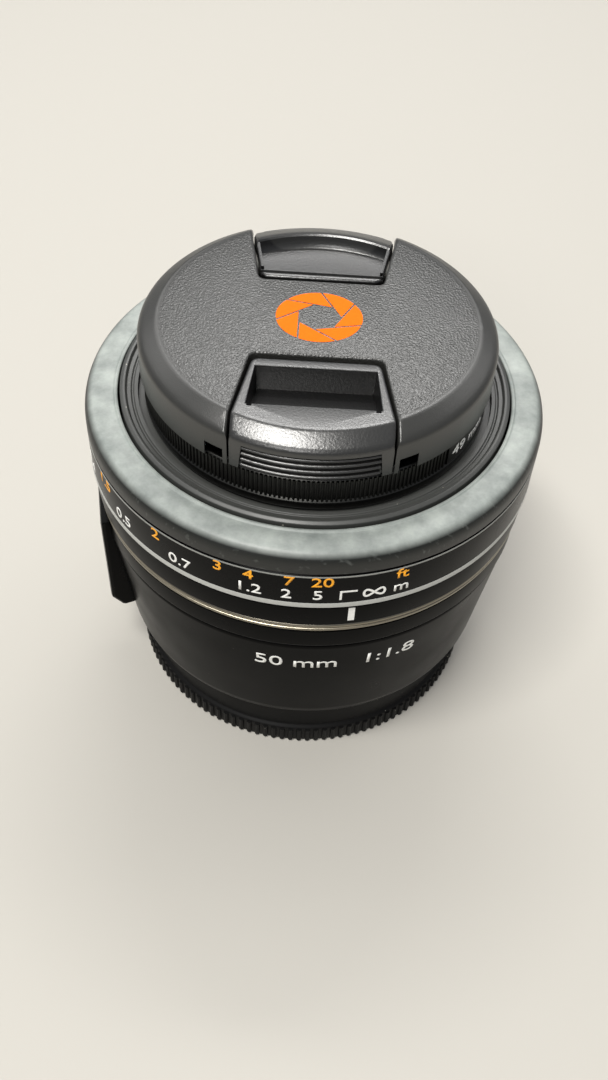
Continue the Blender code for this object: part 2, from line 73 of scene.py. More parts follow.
def blank_material(name, colour, roughness, **more):
    """A Principled material with its constant sockets set, and its Object coordinates."""
    material = bpy.data.materials.new(name)
    material.use_nodes = True
    tree = material.node_tree
    shader = tree.nodes["Principled BSDF"]
    shader.inputs["Base Color"].default_value = linear(colour)
    shader.inputs["Roughness"].default_value = roughness
    for socket, value in more.items():
        shader.inputs[socket.replace("_", " ")].default_value = value
    place = node(tree, "ShaderNodeTexCoord").outputs["Object"]
    return material, tree, shader, place


SHEEN_PATCH = 9.0  # mm across the broad patches where handling has changed the gloss
DUST_CELL, DUST_COLOUR = 1.6, "#a7a499"  # mm between specks of dust, and their colour


def moulded(name, colour, roughness, grain, relief, dust=0.0, level=0.5):
    """Moulded plastic: the mould's eroded grain as relief, and a few specks of settled dust.

    grain is the pit width and relief the pit depth in mm, a little coarser than real ones so
    that they show; dust is the most of its cell that a speck fills. The grain softens
    highlights without dimming them.
    """
    material, tree, shader, place = blank_material(
        name, colour, roughness, Specular_IOR_Level=level)
    pits = node(tree, "ShaderNodeTexNoise", {
        "Vector": place, "Scale": 1 / (grain * MM), "Detail": 3.0, "Roughness": 0.55})
    bump = node(tree, "ShaderNodeBump", {
        "Height": pits.outputs["Fac"], "Strength": 1.0, "Distance": relief * MM})
    tree.links.new(bump.outputs["Normal"], shader.inputs["Normal"])
    broad = node(tree, "ShaderNodeTexNoise", {"Vector": place, "Scale": 1 / (SHEEN_PATCH * MM)})
    sheen = node(tree, "ShaderNodeMapRange", {
        "Value": broad.outputs["Fac"], "From Min": 0.3, "From Max": 0.7,
        "To Min": roughness - 0.05, "To Max": roughness + 0.06})
    tree.links.new(sheen.outputs["Result"], shader.inputs["Roughness"])
    if dust:
        cells = node(tree, "ShaderNodeTexVoronoi", {
            "Vector": place, "Scale": 1 / (DUST_CELL * MM)})
        split = node(tree, "ShaderNodeSeparateColor", {"Color": cells.outputs["Color"]})
        size = node(tree, "ShaderNodeMath", {0: split.outputs["Red"], 1: dust},
                    operation="MULTIPLY")
        speck = node(tree, "ShaderNodeMath", {
            0: cells.outputs["Distance"], 1: size.outputs[0]}, operation="LESS_THAN")
        mixed = node(tree, "ShaderNodeMix", {
            "Factor": speck.outputs[0], "A": linear(colour), "B": linear(DUST_COLOUR)},
            data_type="RGBA")
        tree.links.new(mixed.outputs["Result"], shader.inputs["Base Color"])
    return material


def tree_with(name, **inputs):
    """An empty Geometry Nodes tree with named inputs: socket kinds by name."""
    tree = bpy.data.node_groups.new(name, "GeometryNodeTree")
    for label, kind in inputs.items():
        tree.interface.new_socket(label.replace("_", " "), in_out="INPUT",
                                  socket_type="NodeSocket" + kind)
    tree.interface.new_socket("Geometry", in_out="OUTPUT", socket_type="NodeSocketGeometry")
    return tree, tree.nodes.new("NodeGroupInput").outputs, tree.nodes.new("NodeGroupOutput")


def finish_tree(tree, end, geometry, material):
    """Realise instances, set the material and end the tree."""
    solid = node(tree, "GeometryNodeRealizeInstances", {"Geometry": geometry})
    coloured = node(tree, "GeometryNodeSetMaterial", {
        "Geometry": solid.outputs[0], "Material": material})
    tree.links.new(coloured.outputs[0], end.inputs["Geometry"])


# Turning: a profile of radius and height swept round the axis. The circle that carries it has
# a radius of 1 mm, so the profile is laid 1 mm further in.
turning, given, end = tree_with("turn_about_axis", Profile="Geometry", Facets="Int",
                                Material="Material")
laid = node(turning, "GeometryNodeTransform", {
    "Geometry": given["Profile"], "Rotation": (math.pi / 2, 0, 0), "Translation": (-MM, 0, 0)})
wire = node(turning, "GeometryNodeMeshToCurve", {0: laid.outputs[0]})
circle = node(turning, "GeometryNodeCurvePrimitiveCircle", {
    "Resolution": given["Facets"], "Radius": MM})
swept = node(turning, "GeometryNodeCurveToMesh", {0: circle.outputs[0], 1: wire.outputs[0]})
closed = node(turning, "GeometryNodeMergeByDistance", {
    "Geometry": swept.outputs[0], "Distance": WELD})
finish_tree(turning, end, closed.outputs[0], given["Material"])

# Ribs: rounded upright ribs spaced evenly along an arc about the axis, on a turned core
RIB_FACETS = 8
ribbing, given, end = tree_with(
    "ribs_about_axis", Profile="Geometry", Facets="Int", Ribs="Int", First_angle="Float",
    Last_angle="Float", Circle="Float", Depth="Float", Width="Float", Foot="Float",
    Top="Float", Material="Material")


def maths(tree, operation, *values):
    return node(tree, "ShaderNodeMath", dict(enumerate(values)), operation=operation).outputs[0]


index = node(ribbing, "GeometryNodeInputIndex").outputs[0]
share = maths(ribbing, "DIVIDE", index, given["Ribs"])
sweep = maths(ribbing, "SUBTRACT", given["Last angle"], given["First angle"])
angle = maths(ribbing, "ADD", maths(ribbing, "MULTIPLY", share, sweep), given["First angle"])
middle = maths(ribbing, "MULTIPLY", maths(ribbing, "ADD", given["Foot"], given["Top"]), 0.5)
spot = node(ribbing, "ShaderNodeCombineXYZ", {
    "X": maths(ribbing, "MULTIPLY", maths(ribbing, "COSINE", angle), given["Circle"]),
    "Y": maths(ribbing, "MULTIPLY", maths(ribbing, "SINE", angle), given["Circle"]),
    "Z": middle})
spots = node(ribbing, "GeometryNodePoints", {
    "Count": given["Ribs"], "Position": spot.outputs[0]})
size = node(ribbing, "ShaderNodeCombineXYZ", {
    "X": given["Depth"], "Y": maths(ribbing, "MULTIPLY", given["Width"], 0.5),
    "Z": maths(ribbing, "SUBTRACT", given["Top"], given["Foot"])})
post = node(ribbing, "GeometryNodeMeshCylinder", {
    "Vertices": RIB_FACETS, "Radius": 1.0, "Depth": 1.0})
rib = node(ribbing, "GeometryNodeTransform", {
    "Geometry": post.outputs["Mesh"], "Scale": size.outputs[0]})
heading = node(ribbing, "ShaderNodeCombineXYZ", {"Z": angle})
ribs = node(ribbing, "GeometryNodeInstanceOnPoints", {
    "Points": spots.outputs[0], "Instance": rib.outputs[0], "Rotation": heading.outputs[0]})
core = node(ribbing, "GeometryNodeGroup", node_tree=turning)
for label in ("Profile", "Facets", "Material"):
    ribbing.links.new(given[label], core.inputs[label])
both = node(ribbing, "GeometryNodeJoinGeometry")
ribbing.links.new(core.outputs[0], both.inputs[0])
ribbing.links.new(ribs.outputs[0], both.inputs[0])
finish_tree(ribbing, end, both.outputs[0], given["Material"])


CORNER_STEPS = 4  # straight steps in a rounded corner


def rounded(corners):
    """A profile from (radius, height) or (radius, height, rounding) corners."""
    points = []
    for here, corner in enumerate(corners):
        spot = Vector(corner[:2])
        reach = corner[2] if len(corner) > 2 else 0.0
        if not reach:
            points.append(tuple(spot))
            continue
        ends = [Vector(corners[(here + step) % len(corners)][:2]) for step in (-1, 1)]
        start, stop = [spot + (point - spot).normalized() * reach for point in ends]
        for part in range(CORNER_STEPS + 1):
            t = part / CORNER_STEPS
            point = start * (1 - t) ** 2 + spot * 2 * t * (1 - t) + stop * t ** 2
            points.append(tuple(point))
    return points


def settle(piece, body, *replaced, sharp=30):
    """Turn the faces outward, shade by angle, and fix the piece to its body."""
    shape = bmesh.new()
    shape.from_mesh(piece.data)
    if shape.calc_volume(signed=True) < 0:
        bmesh.ops.reverse_faces(shape, faces=shape.faces)
    shape.to_mesh(piece.data)
    shape.free()
    piece.data.shade_smooth()
    piece.data.set_sharp_from_angle(angle=math.radians(sharp))
    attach(piece, body)
    if replaced:
        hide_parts(*replaced)
    return piece


def bake(name, mesh, tree, values):
    """Run a node tree on a mesh and keep the result as a plain object at the origin."""
    piece = bpy.data.objects.new(name, mesh)
    bpy.context.scene.collection.objects.link(piece)
    step = piece.modifiers.new("shape", "NODES")
    step.node_group = tree
    for socket in tree.interface.items_tree:
        if socket.in_out == "INPUT" and socket.name in values:
            step[socket.identifier] = values[socket.name]
    graph = bpy.context.evaluated_depsgraph_get()
    shape = bpy.data.meshes.new_from_object(piece.evaluated_get(graph))
    piece.modifiers.remove(step)
    piece.data = shape
    return piece


def turned(name, corners, material, body, *replaced, closed=True, facets=AROUND, ribs=None):
    """A turned piece, with any ribs round it, on its body and in place of CAD nodes."""
    outline = rounded(corners)
    turns = [a[0] * b[1] - b[0] * a[1] for a, b in zip(outline, outline[1:] + outline[:1])]
    if sum(turns) > 0:  # the sweep faces outward when the profile runs down its outer side
        outline.reverse()
    shape = bmesh.new()
    points = [shape.verts.new((r * MM, 0, z * MM)) for r, z in outline]
    for start, stop in zip(points, points[1:] + points[:1] if closed else points[1:]):
        shape.edges.new((start, stop))
    mesh = bpy.data.meshes.new(name)
    shape.to_mesh(mesh)
    shape.free()
    values = {"Facets": facets, "Material": material}
    if ribs:
        angles = ("First angle", "Last angle")
        values |= {key: math.radians(value) if key in angles else value if key == "Ribs"
                   else value * MM for key, value in ribs.items()}
    piece = bake(name, mesh, ribbing if ribs else turning, values)
    return settle(piece, body, *replaced)


# Spark-grained ABS is a dull black that shows a broad, weak sheen on its ribs
REAR_ABS = moulded("black_abs_spark_grain", "#0d0d0d", 0.5, 0.35, 0.012, dust=0.05, level=0.16)
rear_cap = turned(
    "rear_cap_scalloped",
    [(0, 1.6), (27.0, 1.6, 0.4), (27.0, 8.0), (23.3, 8.0), (23.3, 9.4), (27.0, 9.4),
     (27.0, 11.2, 0.2), (28.7, 11.2, 0.25), (28.7, 4.0, 0.2), (29.35, 3.5, 0.3),
     (29.35, 0, 0.3), (24.4, 0), (24.3, 0.25), (23.7, 0.25), (23.6, 0), (0, 0)],
    REAR_ABS, "rear_cap", "rear_cap", closed=False,
    ribs={"Ribs": 126, "First angle": 0, "Last angle": 360, "Circle": 29.25, "Depth": 0.5,
          "Width": 1.0, "Foot": 0.3, "Top": 3.3},
)

# --- Mount plate, screws and contacts -----------------------------------------------------
# The bayonet flange is stainless steel, turned on a lathe, so fine rings catch the light. Four
# steel screws hold it, and eight gold-plated pins carry the signals to the camera.
WEAR_PATCH = 0.8  # mm across the small patches where the finish is duller


def turned_metal(name, colour, roughness, pitch, relief):
    """Metal off a lathe: rings of the tool's feed pitch, on faces and on cylinders alike.

    They draw a highlight out into a thin streak. pitch and relief are in mm, and the pitch is
    a little coarser than a real feed, so that it shows.
    """
    material, tree, shader, place = blank_material(name, colour, roughness, Metallic=1.0)
    parts = node(tree, "ShaderNodeSeparateXYZ", {0: place})
    flat = node(tree, "ShaderNodeCombineXYZ", {"X": parts.outputs["X"], "Y": parts.outputs["Y"]})
    radius = node(tree, "ShaderNodeVectorMath", {0: flat.outputs[0]}, operation="LENGTH")
    along = maths(tree, "ADD", radius.outputs["Value"], parts.outputs["Z"])
    rings = maths(tree, "SINE", maths(tree, "MULTIPLY", along, 2 * math.pi / (pitch * MM)))
    speck = node(tree, "ShaderNodeTexNoise", {"Vector": place, "Scale": 1 / (WEAR_PATCH * MM)})
    height = maths(tree, "ADD", rings, speck.outputs["Fac"])
    bump = node(tree, "ShaderNodeBump", {"Height": height, "Distance": relief * MM})
    tree.links.new(bump.outputs["Normal"], shader.inputs["Normal"])
    wear = node(tree, "ShaderNodeMapRange", {
        "Value": speck.outputs["Fac"], "To Min": roughness - 0.06, "To Max": roughness + 0.1})
    tree.links.new(wear.outputs["Result"], shader.inputs["Roughness"])
    return material


def refinish(material, *names):
    """Give CAD nodes whose shape is right a better material."""
    for name in names:
        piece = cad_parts[name]
        if not piece.material_slots:
            piece.data.materials.append(material)
        for slot in piece.material_slots:
            slot.material = material


FLANGE_STEEL = turned_metal("stainless_steel_turned", "#c9c8c4", 0.28, 0.18, 0.002)
refinish(FLANGE_STEEL, "bayonet_mount_plate")
refinish(turned_metal("screw_steel_zinc_plated", "#b9bab8", 0.32, 0.15, 0.001),
         *[f"mount_screw_{number}" for number in range(1, 5)])
refinish(turned_metal("gold_plate_over_brass", "#e2bc62", 0.22, 0.2, 0.001),
         *[f"contact_pin_{number}" for number in range(1, 9)])

# --- Main barrel --------------------------------------------------------------------------
# Glass-filled polycarbonate, moulded and sprayed with a satin black coat that is smooth
# enough to mirror light at its edges. The focal length and aperture are printed in white.
BARREL_FOOT, BARREL_TOP = 11.8, 34.6
TAPER = (33.9, 34.0), (31.4, 13.2)  # radius and height at the taper's two ends
# The coat is nearly black face on, and shows only a soft sheen at a low angle
SATIN_BLACK = moulded("satin_black_coat_on_polycarbonate", "#040404", 0.32, 0.12, 0.0012,
                      dust=0.03, level=0.06)
main_barrel = turned(
    "main_barrel_shell",
    [(33.35, BARREL_TOP), (33.75, 34.45, 0.15), (*TAPER[0], 0.3), (*TAPER[1], 0.5),
     (30.9, BARREL_FOOT, 0.25), (29.1, BARREL_FOOT), (29.1, 13.3), (23.4, 13.3),
     (23.4, 14.8), (29.8, 14.8), (32.4, BARREL_TOP)],
    SATIN_BLACK, "barrel", "main_barrel",
)


INK_PATCH = 0.5  # mm across the patches where the ink is thin or thick


def printed(name, colour, roughness=0.42, level=0.4):
    """Printed ink: slightly glossy unless told, with a faint unevenness in its cover."""
    material, tree, shader, place = blank_material(
        name, colour, roughness, Specular_IOR_Level=level)
    cover = node(tree, "ShaderNodeTexNoise", {
        "Vector": place, "Scale": 1 / (INK_PATCH * MM), "Detail": 3.0})
    tone = node(tree, "ShaderNodeMapRange", {
        "Value": cover.outputs["Fac"], "To Min": 0.86, "To Max": 1.06})
    inked = node(tree, "ShaderNodeHueSaturation", {
        "Value": tone.outputs["Result"], "Color": linear(colour)})
    tree.links.new(inked.outputs["Color"], shader.inputs["Base Color"])
    return material


WHITE_INK = printed("pad_printed_white_ink", "#f6f6f2")
ORANGE_INK = printed("pad_printed_orange_ink", "#ffae1c")
INK = 0.035  # thickness of a printed mark, thicker than real ink so that it shows
CAPITALS = 0.72  # height of the font's capitals as a share of its size
BEND = 0.5  # widest flat strip in a mark that is bent round the axis


def flat_text(text, height, stretch, weight):
    """Lettering as a flat mesh in mm, centred on the origin."""
    curve = bpy.data.curves.new(text, "FONT")
    curve.body = text
    curve.size = height / CAPITALS
    curve.offset = weight
    curve.align_x = "CENTER"
    curve.align_y = "CENTER"
    curve.resolution_u = 4
    holder = bpy.data.objects.new(text, curve)
    bpy.context.scene.collection.objects.link(holder)
    graph = bpy.context.evaluated_depsgraph_get()
    mesh = bpy.data.meshes.new_from_object(holder.evaluated_get(graph))
    bpy.data.objects.remove(holder, do_unlink=True)
    mesh.transform(Matrix.Diagonal((stretch, 1, 1, 1)))
    return mesh


def box_outline(width, height):
    """A flat rectangle as a mesh in mm."""
    mesh = bpy.data.meshes.new("mark")
    x, y = width / 2, height / 2
    mesh.from_pydata([(-x, -y, 0), (x, -y, 0), (x, y, 0), (-x, y, 0)], [], [(0, 1, 2, 3)])
    return mesh


def wrapped(name, marks, radius_at, material, body, thickness=INK):
    """Flat marks bent round the barrel: each is (mesh, angle, height); one closed mesh."""
    whole = bmesh.new()
    for mesh, angle, height in marks:
        shape = bmesh.new()
        shape.from_mesh(mesh)
        bmesh.ops.remove_doubles(shape, verts=shape.verts, dist=0.002)
        xs = [vert.co.x for vert in shape.verts]
        for cut in np.arange(min(xs) + 0.8 * BEND, max(xs), BEND):
            bmesh.ops.bisect_plane(
                shape, geom=shape.verts[:] + shape.edges[:] + shape.faces[:],
                plane_co=(cut, 0, 0), plane_no=(1, 0, 0), dist=1e-5)
        bmesh.ops.recalc_face_normals(shape, faces=shape.faces)
        made = bmesh.ops.extrude_face_region(shape, geom=shape.faces[:])
        raised = {item for item in made["geom"] if isinstance(item, bmesh.types.BMVert)}
        for vert in shape.verts:
            x, y = vert.co.x, vert.co.y
            z = height + y
            radius = radius_at(z) + (thickness if vert in raised else -thickness)
            turn = math.radians(angle) + x / radius_at(z)
            vert.co = (radius * math.cos(turn) * MM, radius * math.sin(turn) * MM, z * MM)
        bmesh.ops.recalc_face_normals(shape, faces=shape.faces)
        part = bpy.data.meshes.new("part")
        shape.to_mesh(part)
        shape.free()
        whole.from_mesh(part)
    mesh = bpy.data.meshes.new(name)
    whole.to_mesh(mesh)
    whole.free()
    mesh.materials.append(material)
    piece = bpy.data.objects.new(name, mesh)
    bpy.context.scene.collection.objects.link(piece)
    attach(piece, body)
    return piece


def barrel_radius(z):
    """The tapered shell's radius at a height."""
    (high_radius, high), (low_radius, low) = TAPER
    return low_radius + (z - low) * (high_radius - low_radius) / (high - low)


INDEX_ANGLE = -78.3  # where the index mark stands, with the barrel's print to either side
PRINT_HEIGHT, PRINT_APART = 29.2, 12.5
wrapped("focal_length_print",
        [(flat_text(text, 2.9, 1.15, 0.012), INDEX_ANGLE + turn, PRINT_HEIGHT)
         for text, turn in (("50 mm", -PRINT_APART), ("1:1.8", PRINT_APART))],
        barrel_radius, WHITE_INK, "barrel")

# --- Upper barrel and trim ring -----------------------------------------------------------
# A second moulded shell with a glossy index band, and under it a champagne anodised
# aluminium ring, turned and brushed round, that snaps into a groove.
upper_barrel = turned(
    "upper_barrel_shell",
    [(32.6, 45.0), (34.2, 45.0), (34.6, 44.75, 0.2), (34.6, 40.8, 0.12), (33.2, 40.8),
     (33.2, 38.6), (34.2, 38.6, 0.12), (34.2, 35.15, 0.2), (33.95, 34.9, 0.1), (32.6, 34.9)],
    SATIN_BLACK, "barrel", "upper_barrel",
)

# The anodising is a pale straw grey, and the turning draws its highlight into a fine line
CHAMPAGNE = turned_metal("champagne_anodised_aluminium", "#8f897b", 0.32, 0.16, 0.0018)
trim_ring = turned(
    "trim_ring_turned",
    [(33.5, 40.5), (34.15, 40.5, 0.1), (34.42, 40.2, 0.15), (34.42, 39.95, 0.05),
     (34.2, 39.85), (34.2, 39.7), (34.42, 39.6, 0.05), (34.42, 39.2, 0.15),
     (34.2, 38.9, 0.1), (33.5, 38.9)],
    CHAMPAGNE, "barrel", "trim_ring",
)

wrapped("index_mark", [(box_outline(0.95, 2.9), INDEX_ANGLE, 43.15)],
        lambda z: 34.6, WHITE_INK, "barrel", 0.06)

# --- Focus mode switch --------------------------------------------------------------------
# A pad moulded on the barrel's side, and in its slot a ribbed slider in black acetal that
# picks automatic or manual focus.
SWITCH_ANGLE = -168.0
STEP = 0.02  # half the width of a face that stands nearly upright, as at a slot's edge


def patch(name, angles, heights, outer, inner, material, body, *replaced, sharp=30):
    """A curved block: outer(angle, z) and inner(angle, z) give its two faces' radii."""
    rows, columns = len(heights), len(angles)
    points = []
    for radius in (outer, inner):
        for z in heights:
            for angle in angles:
                x, y = (radius(angle, z) * math.cos(math.radians(angle)),
                        radius(angle, z) * math.sin(math.radians(angle)))
                points.append((x * MM, y * MM, z * MM))
    layer = rows * columns
    faces = []
    for row in range(rows - 1):
        for column in range(columns - 1):
            a = row * columns + column
            quad = (a, a + 1, a + columns + 1, a + columns)
            faces.append(quad)
            faces.append(tuple(layer + corner for corner in reversed(quad)))
    rim = [*range(columns), *range(2 * columns - 1, layer, columns),
           *range(layer - 2, layer - columns - 1, -1),
           *range(layer - 2 * columns, 0, -columns)]
    for start, stop in zip(rim, rim[1:] + rim[:1]):
        faces.append((start, start + layer, stop + layer, stop))
    mesh = bpy.data.meshes.new(name)
    mesh.from_pydata(points, [], faces)
    mesh.materials.append(material)
    piece = bpy.data.objects.new(name, mesh)
    bpy.context.scene.collection.objects.link(piece)
    shape = bmesh.new()
    shape.from_mesh(mesh)
    bmesh.ops.recalc_face_normals(shape, faces=shape.faces)
    shape.to_mesh(mesh)
    shape.free()
    return settle(piece, body, *replaced, sharp=sharp)


def eased(low, high, edge, count):
    """Values across a span, with a few more at each end for its rounded edge."""
    return [low, low + edge * 0.3, low + edge,
            *np.linspace(low + edge, high - edge, count)[1:-1],
            high - edge, high - edge * 0.3, high]


def crown(value, low, high, edge):
    """How far a rounded edge has dropped, from 0 to 1, at a value across a span."""
    inside = max(0.0, min(value - low, high - value) / edge)
    return 1 - math.sqrt(max(0.0, 1 - (1 - min(inside, 1)) ** 2))


PAD_HALF, PAD_LOW, PAD_HIGH = 14.0, 16.8, 38.2
PAD_FACE, PAD_SLOPE = 34.75, 19.4  # the flat face's distance, and where its foot slopes in
PAD_SIDE, PAD_TOP, PAD_DROP = 1.4, 0.7, 0.7  # how far its rounded edges reach and drop
SLOT_HALF, SLOT_LOW, SLOT_HIGH, SLOT_FLOOR = 4.5, 23.3, 30.7, 34.1


def pad_face(z):
    """How far the flat pad stands from the lens's axis: its foot slopes in to the barrel."""
    return PAD_FACE - max(0.0, PAD_SLOPE - z) * 0.6


def pad_radius(angle, z):
    side = abs(angle - SWITCH_ANGLE)
    if side < SLOT_HALF and SLOT_LOW < z < SLOT_HIGH:
        return SLOT_FLOOR
    drop = max(crown(side, -PAD_HALF, PAD_HALF, PAD_SIDE),
               crown(z, -PAD_HIGH, PAD_HIGH, PAD_TOP))
    return pad_face(z) / math.cos(math.radians(side)) - PAD_DROP * drop


def pad_back(angle, z):
    """The pad's back is sunk a little into the barrel."""
    return min(barrel_radius(z) - 0.25, TAPER[0][0])


slot_steps = [SWITCH_ANGLE + side * (SLOT_HALF + step)
              for side in (-1, 1) for step in (-STEP, STEP)]
pad_angles = sorted(slot_steps + eased(
    SWITCH_ANGLE - PAD_HALF, SWITCH_ANGLE + PAD_HALF, PAD_SIDE, 14))
pad_heights = sorted(eased(PAD_LOW, PAD_HIGH, PAD_TOP, 16) + [PAD_SLOPE] + [
    edge + step for edge in (SLOT_LOW, SLOT_HIGH) for step in (-STEP, STEP)])
switch_pad = patch("focus_switch_pad", pad_angles, pad_heights, pad_radius, pad_back,
                   SATIN_BLACK, "barrel", "focus_switch_plate")

# Acetal keeps a waxy, low gloss that picks out the ribs
SLIDER_ACETAL = moulded("black_acetal_slider", "#101010", 0.42, 0.3, 0.004, level=0.45)
KNOB_HALF, KNOB_LOW, KNOB_HIGH = 3.8, 26.6, 30.4
KNOB_TOP, KNOB_FOOT, RIB_PITCH, RIB_STEPS = 35.15, 34.15, 0.95, 48


def knob_radius(angle, z):
    rib = 0.5 + 0.5 * math.cos(2 * math.pi * (z - KNOB_LOW) / RIB_PITCH + math.pi)
    drop = max(crown(angle, SWITCH_ANGLE - KNOB_HALF, SWITCH_ANGLE + KNOB_HALF, 0.5),
               crown(z, KNOB_LOW, KNOB_HIGH, 0.3))
    return KNOB_TOP - 0.28 * rib - 0.25 * drop


slider = patch(
    "focus_mode_slider_ribbed",
    eased(SWITCH_ANGLE - KNOB_HALF, SWITCH_ANGLE + KNOB_HALF, 0.5, 8),
    [KNOB_LOW + (KNOB_HIGH - KNOB_LOW) * i / RIB_STEPS for i in range(RIB_STEPS + 1)],
    knob_radius, lambda angle, z: KNOB_FOOT, SLIDER_ACETAL, "mode_slider", "focus_mode_slider",
    sharp=50,
)
PAD_INK = 0.06  # thick enough to clear the flat pad where the print bends round
wrapped("switch_print",
        [(flat_text(text, 1.9, 1.1, 0.0), SWITCH_ANGLE, height)
         for text, height in (("AF", 33.2), ("MF", 21.3))],
        lambda z: PAD_FACE + 0.04, WHITE_INK, "barrel", PAD_INK)
wrapped("switch_marks",
        [(box_outline(0.45, 1.3), SWITCH_ANGLE + 6.2, height) for height in (28.5, 25.4)],
        lambda z: PAD_FACE + 0.2, WHITE_INK, "barrel", PAD_INK)

# --- Inside the barrel --------------------------------------------------------------------
# The guide tube and drive sleeve are black anodised aluminium, the gears white acetal, the
# board green epoxy glass. They only show through gaps, as the lens focuses.
ANODISED = turned_metal("black_anodised_aluminium", "#1c1c1e", 0.38, 0.2, 0.0015)
refinish(ANODISED, "guide_tube", "focus_drive_sleeve", "front_lens_cell", "rear_lens_cell")
refinish(moulded("white_acetal_gear", "#d8d6cc", 0.38, 0.3, 0.003), "focus_gear_ring",
         "output_gear", "idler_gear", "motor_pinion")
refinish(moulded("green_solder_mask_board", "#14602f", 0.35, 0.5, 0.006), "circuit_board")
refinish(moulded("matt_black_shield_plastic", "#141414", 0.75, 0.25, 0.008), "contact_block",
         "rear_baffle", "diaphragm_base", "diaphragm_ring")
refinish(turned_metal("motor_can_nickel", "#bdbdb8", 0.3, 0.3, 0.001), "focus_motor",
         "aperture_lever", "cap_spring_front", "cap_spring_rear")
refinish(turned_metal("blackened_spring_steel_blade", "#26272a", 0.42, 0.35, 0.0008),
         *[f"diaphragm_blade_{number}" for number in range(1, 8)])

# --- Focusing ring: scale -----------------------------------------------------------------
# A black moulded ring with a painted grey line at its foot and a fine one at its top. The
# distances are printed in orange feet over white metres.
SCALE_RADIUS = 35.0
# A gloss black that gives the print a clean, dark ground
SCALE_BLACK = moulded("gloss_black_scale_ring", "#050505", 0.26, 0.15, 0.001, dust=0.03,
                      level=0.08)
scale_ring = turned(
    "focus_scale_ring_shell",
    [(32.4, 52.4), (34.75, 52.4), (SCALE_RADIUS, 52.15, 0.12), (SCALE_RADIUS, 45.55, 0.12),
     (34.75, 45.3), (32.4, 45.3)],
    SCALE_BLACK, "focus_ring", "focus_scale_ring",
)


def painted_line(name, low, high, colour, lift):
    """A line of paint round the scale ring, as a thin band with rounded edges."""
    material = printed(name + "_paint", colour)
    return turned(name, [(SCALE_RADIUS - 0.1, high), (SCALE_RADIUS + lift, high, lift * 0.6),
                         (SCALE_RADIUS + lift, low, lift * 0.6), (SCALE_RADIUS - 0.1, low)],
                  material, "focus_ring")


painted_line("silver_foot_line", 45.5, 46.45, "#b9bab6", 0.03)
painted_line("fine_top_line", 52.0, 52.22, "#8d8e8a", 0.02)

FEET = [("1.5", -148.1), ("2", -127.2), ("3", -110.0), ("4", -102.6), ("7", -93.3),
        ("20", -85.7), ("ft", -67.2)]
METRES = [("0.34", -181.0), ("0.4", -160.5), ("0.5", -139.5), ("0.7", -120.2),
          ("1.2", -102.6), ("2", -93.8), ("5", -86.6), ("m", -67.1)]


FEET_HEIGHT, METRES_HEIGHT = 50.95, 48.15


def scale_text(text):
    return flat_text(text, 1.95, 1.2, 0.02)


wrapped("scale_feet", [(scale_text(text), angle, FEET_HEIGHT) for text, angle in FEET],
        lambda z: SCALE_RADIUS, ORANGE_INK, "focus_ring")
LEG, BAR = box_outline(0.32, 1.9), box_outline(2.4, 0.32)
wrapped("scale_metres",
        [(scale_text(text), angle, METRES_HEIGHT) for text, angle in METRES]
        + [(LEG, -81.4, METRES_HEIGHT), (BAR, -79.6, METRES_HEIGHT + 0.8)],
        lambda z: SCALE_RADIUS, WHITE_INK, "focus_ring")


def infinity_sign(width, height, stroke):
    """A lying figure of eight as a flat mesh in mm, drawn as a closed strip."""
    steps = 48
    shape = bmesh.new()
    rings = []
    for step in range(steps):
        t = 2 * math.pi * step / steps
        x, y = math.sin(t) * width / 2, math.sin(2 * t) * height / 2
        along = Vector((math.cos(t) * width / 2, math.cos(2 * t) * height, 0)).normalized()
        side = Vector((-along.y, along.x, 0)) * stroke / 2
        spot = Vector((x, y, 0))
        rings.append([shape.verts.new(spot + side), shape.verts.new(spot - side)])
    for here, after in zip(rings, rings[1:] + rings[:1]):
        shape.faces.new((here[0], here[1], after[1], after[0]))
    mesh = bpy.data.meshes.new("infinity")
    shape.to_mesh(mesh)
    shape.free()
    return mesh


wrapped("scale_infinity", [(infinity_sign(3.0, 1.35, 0.36), -73.6, METRES_HEIGHT)],
        lambda z: SCALE_RADIUS, WHITE_INK, "focus_ring")

# --- Focusing ring: rubber grip -----------------------------------------------------------
# A moulded rubber tyre stretched over the ring. Its black has bloomed to a chalky grey on
# top, mottled where wax has come to the surface. Its sides below the top are painted near
# black, as painted shade where they turn away from the lamps.


SIDE_SHADE_TOP, GREY_TOP_FROM = 55.35, 56.15  # heights between which the painted shade on the tyre's sides gives way to its grey top
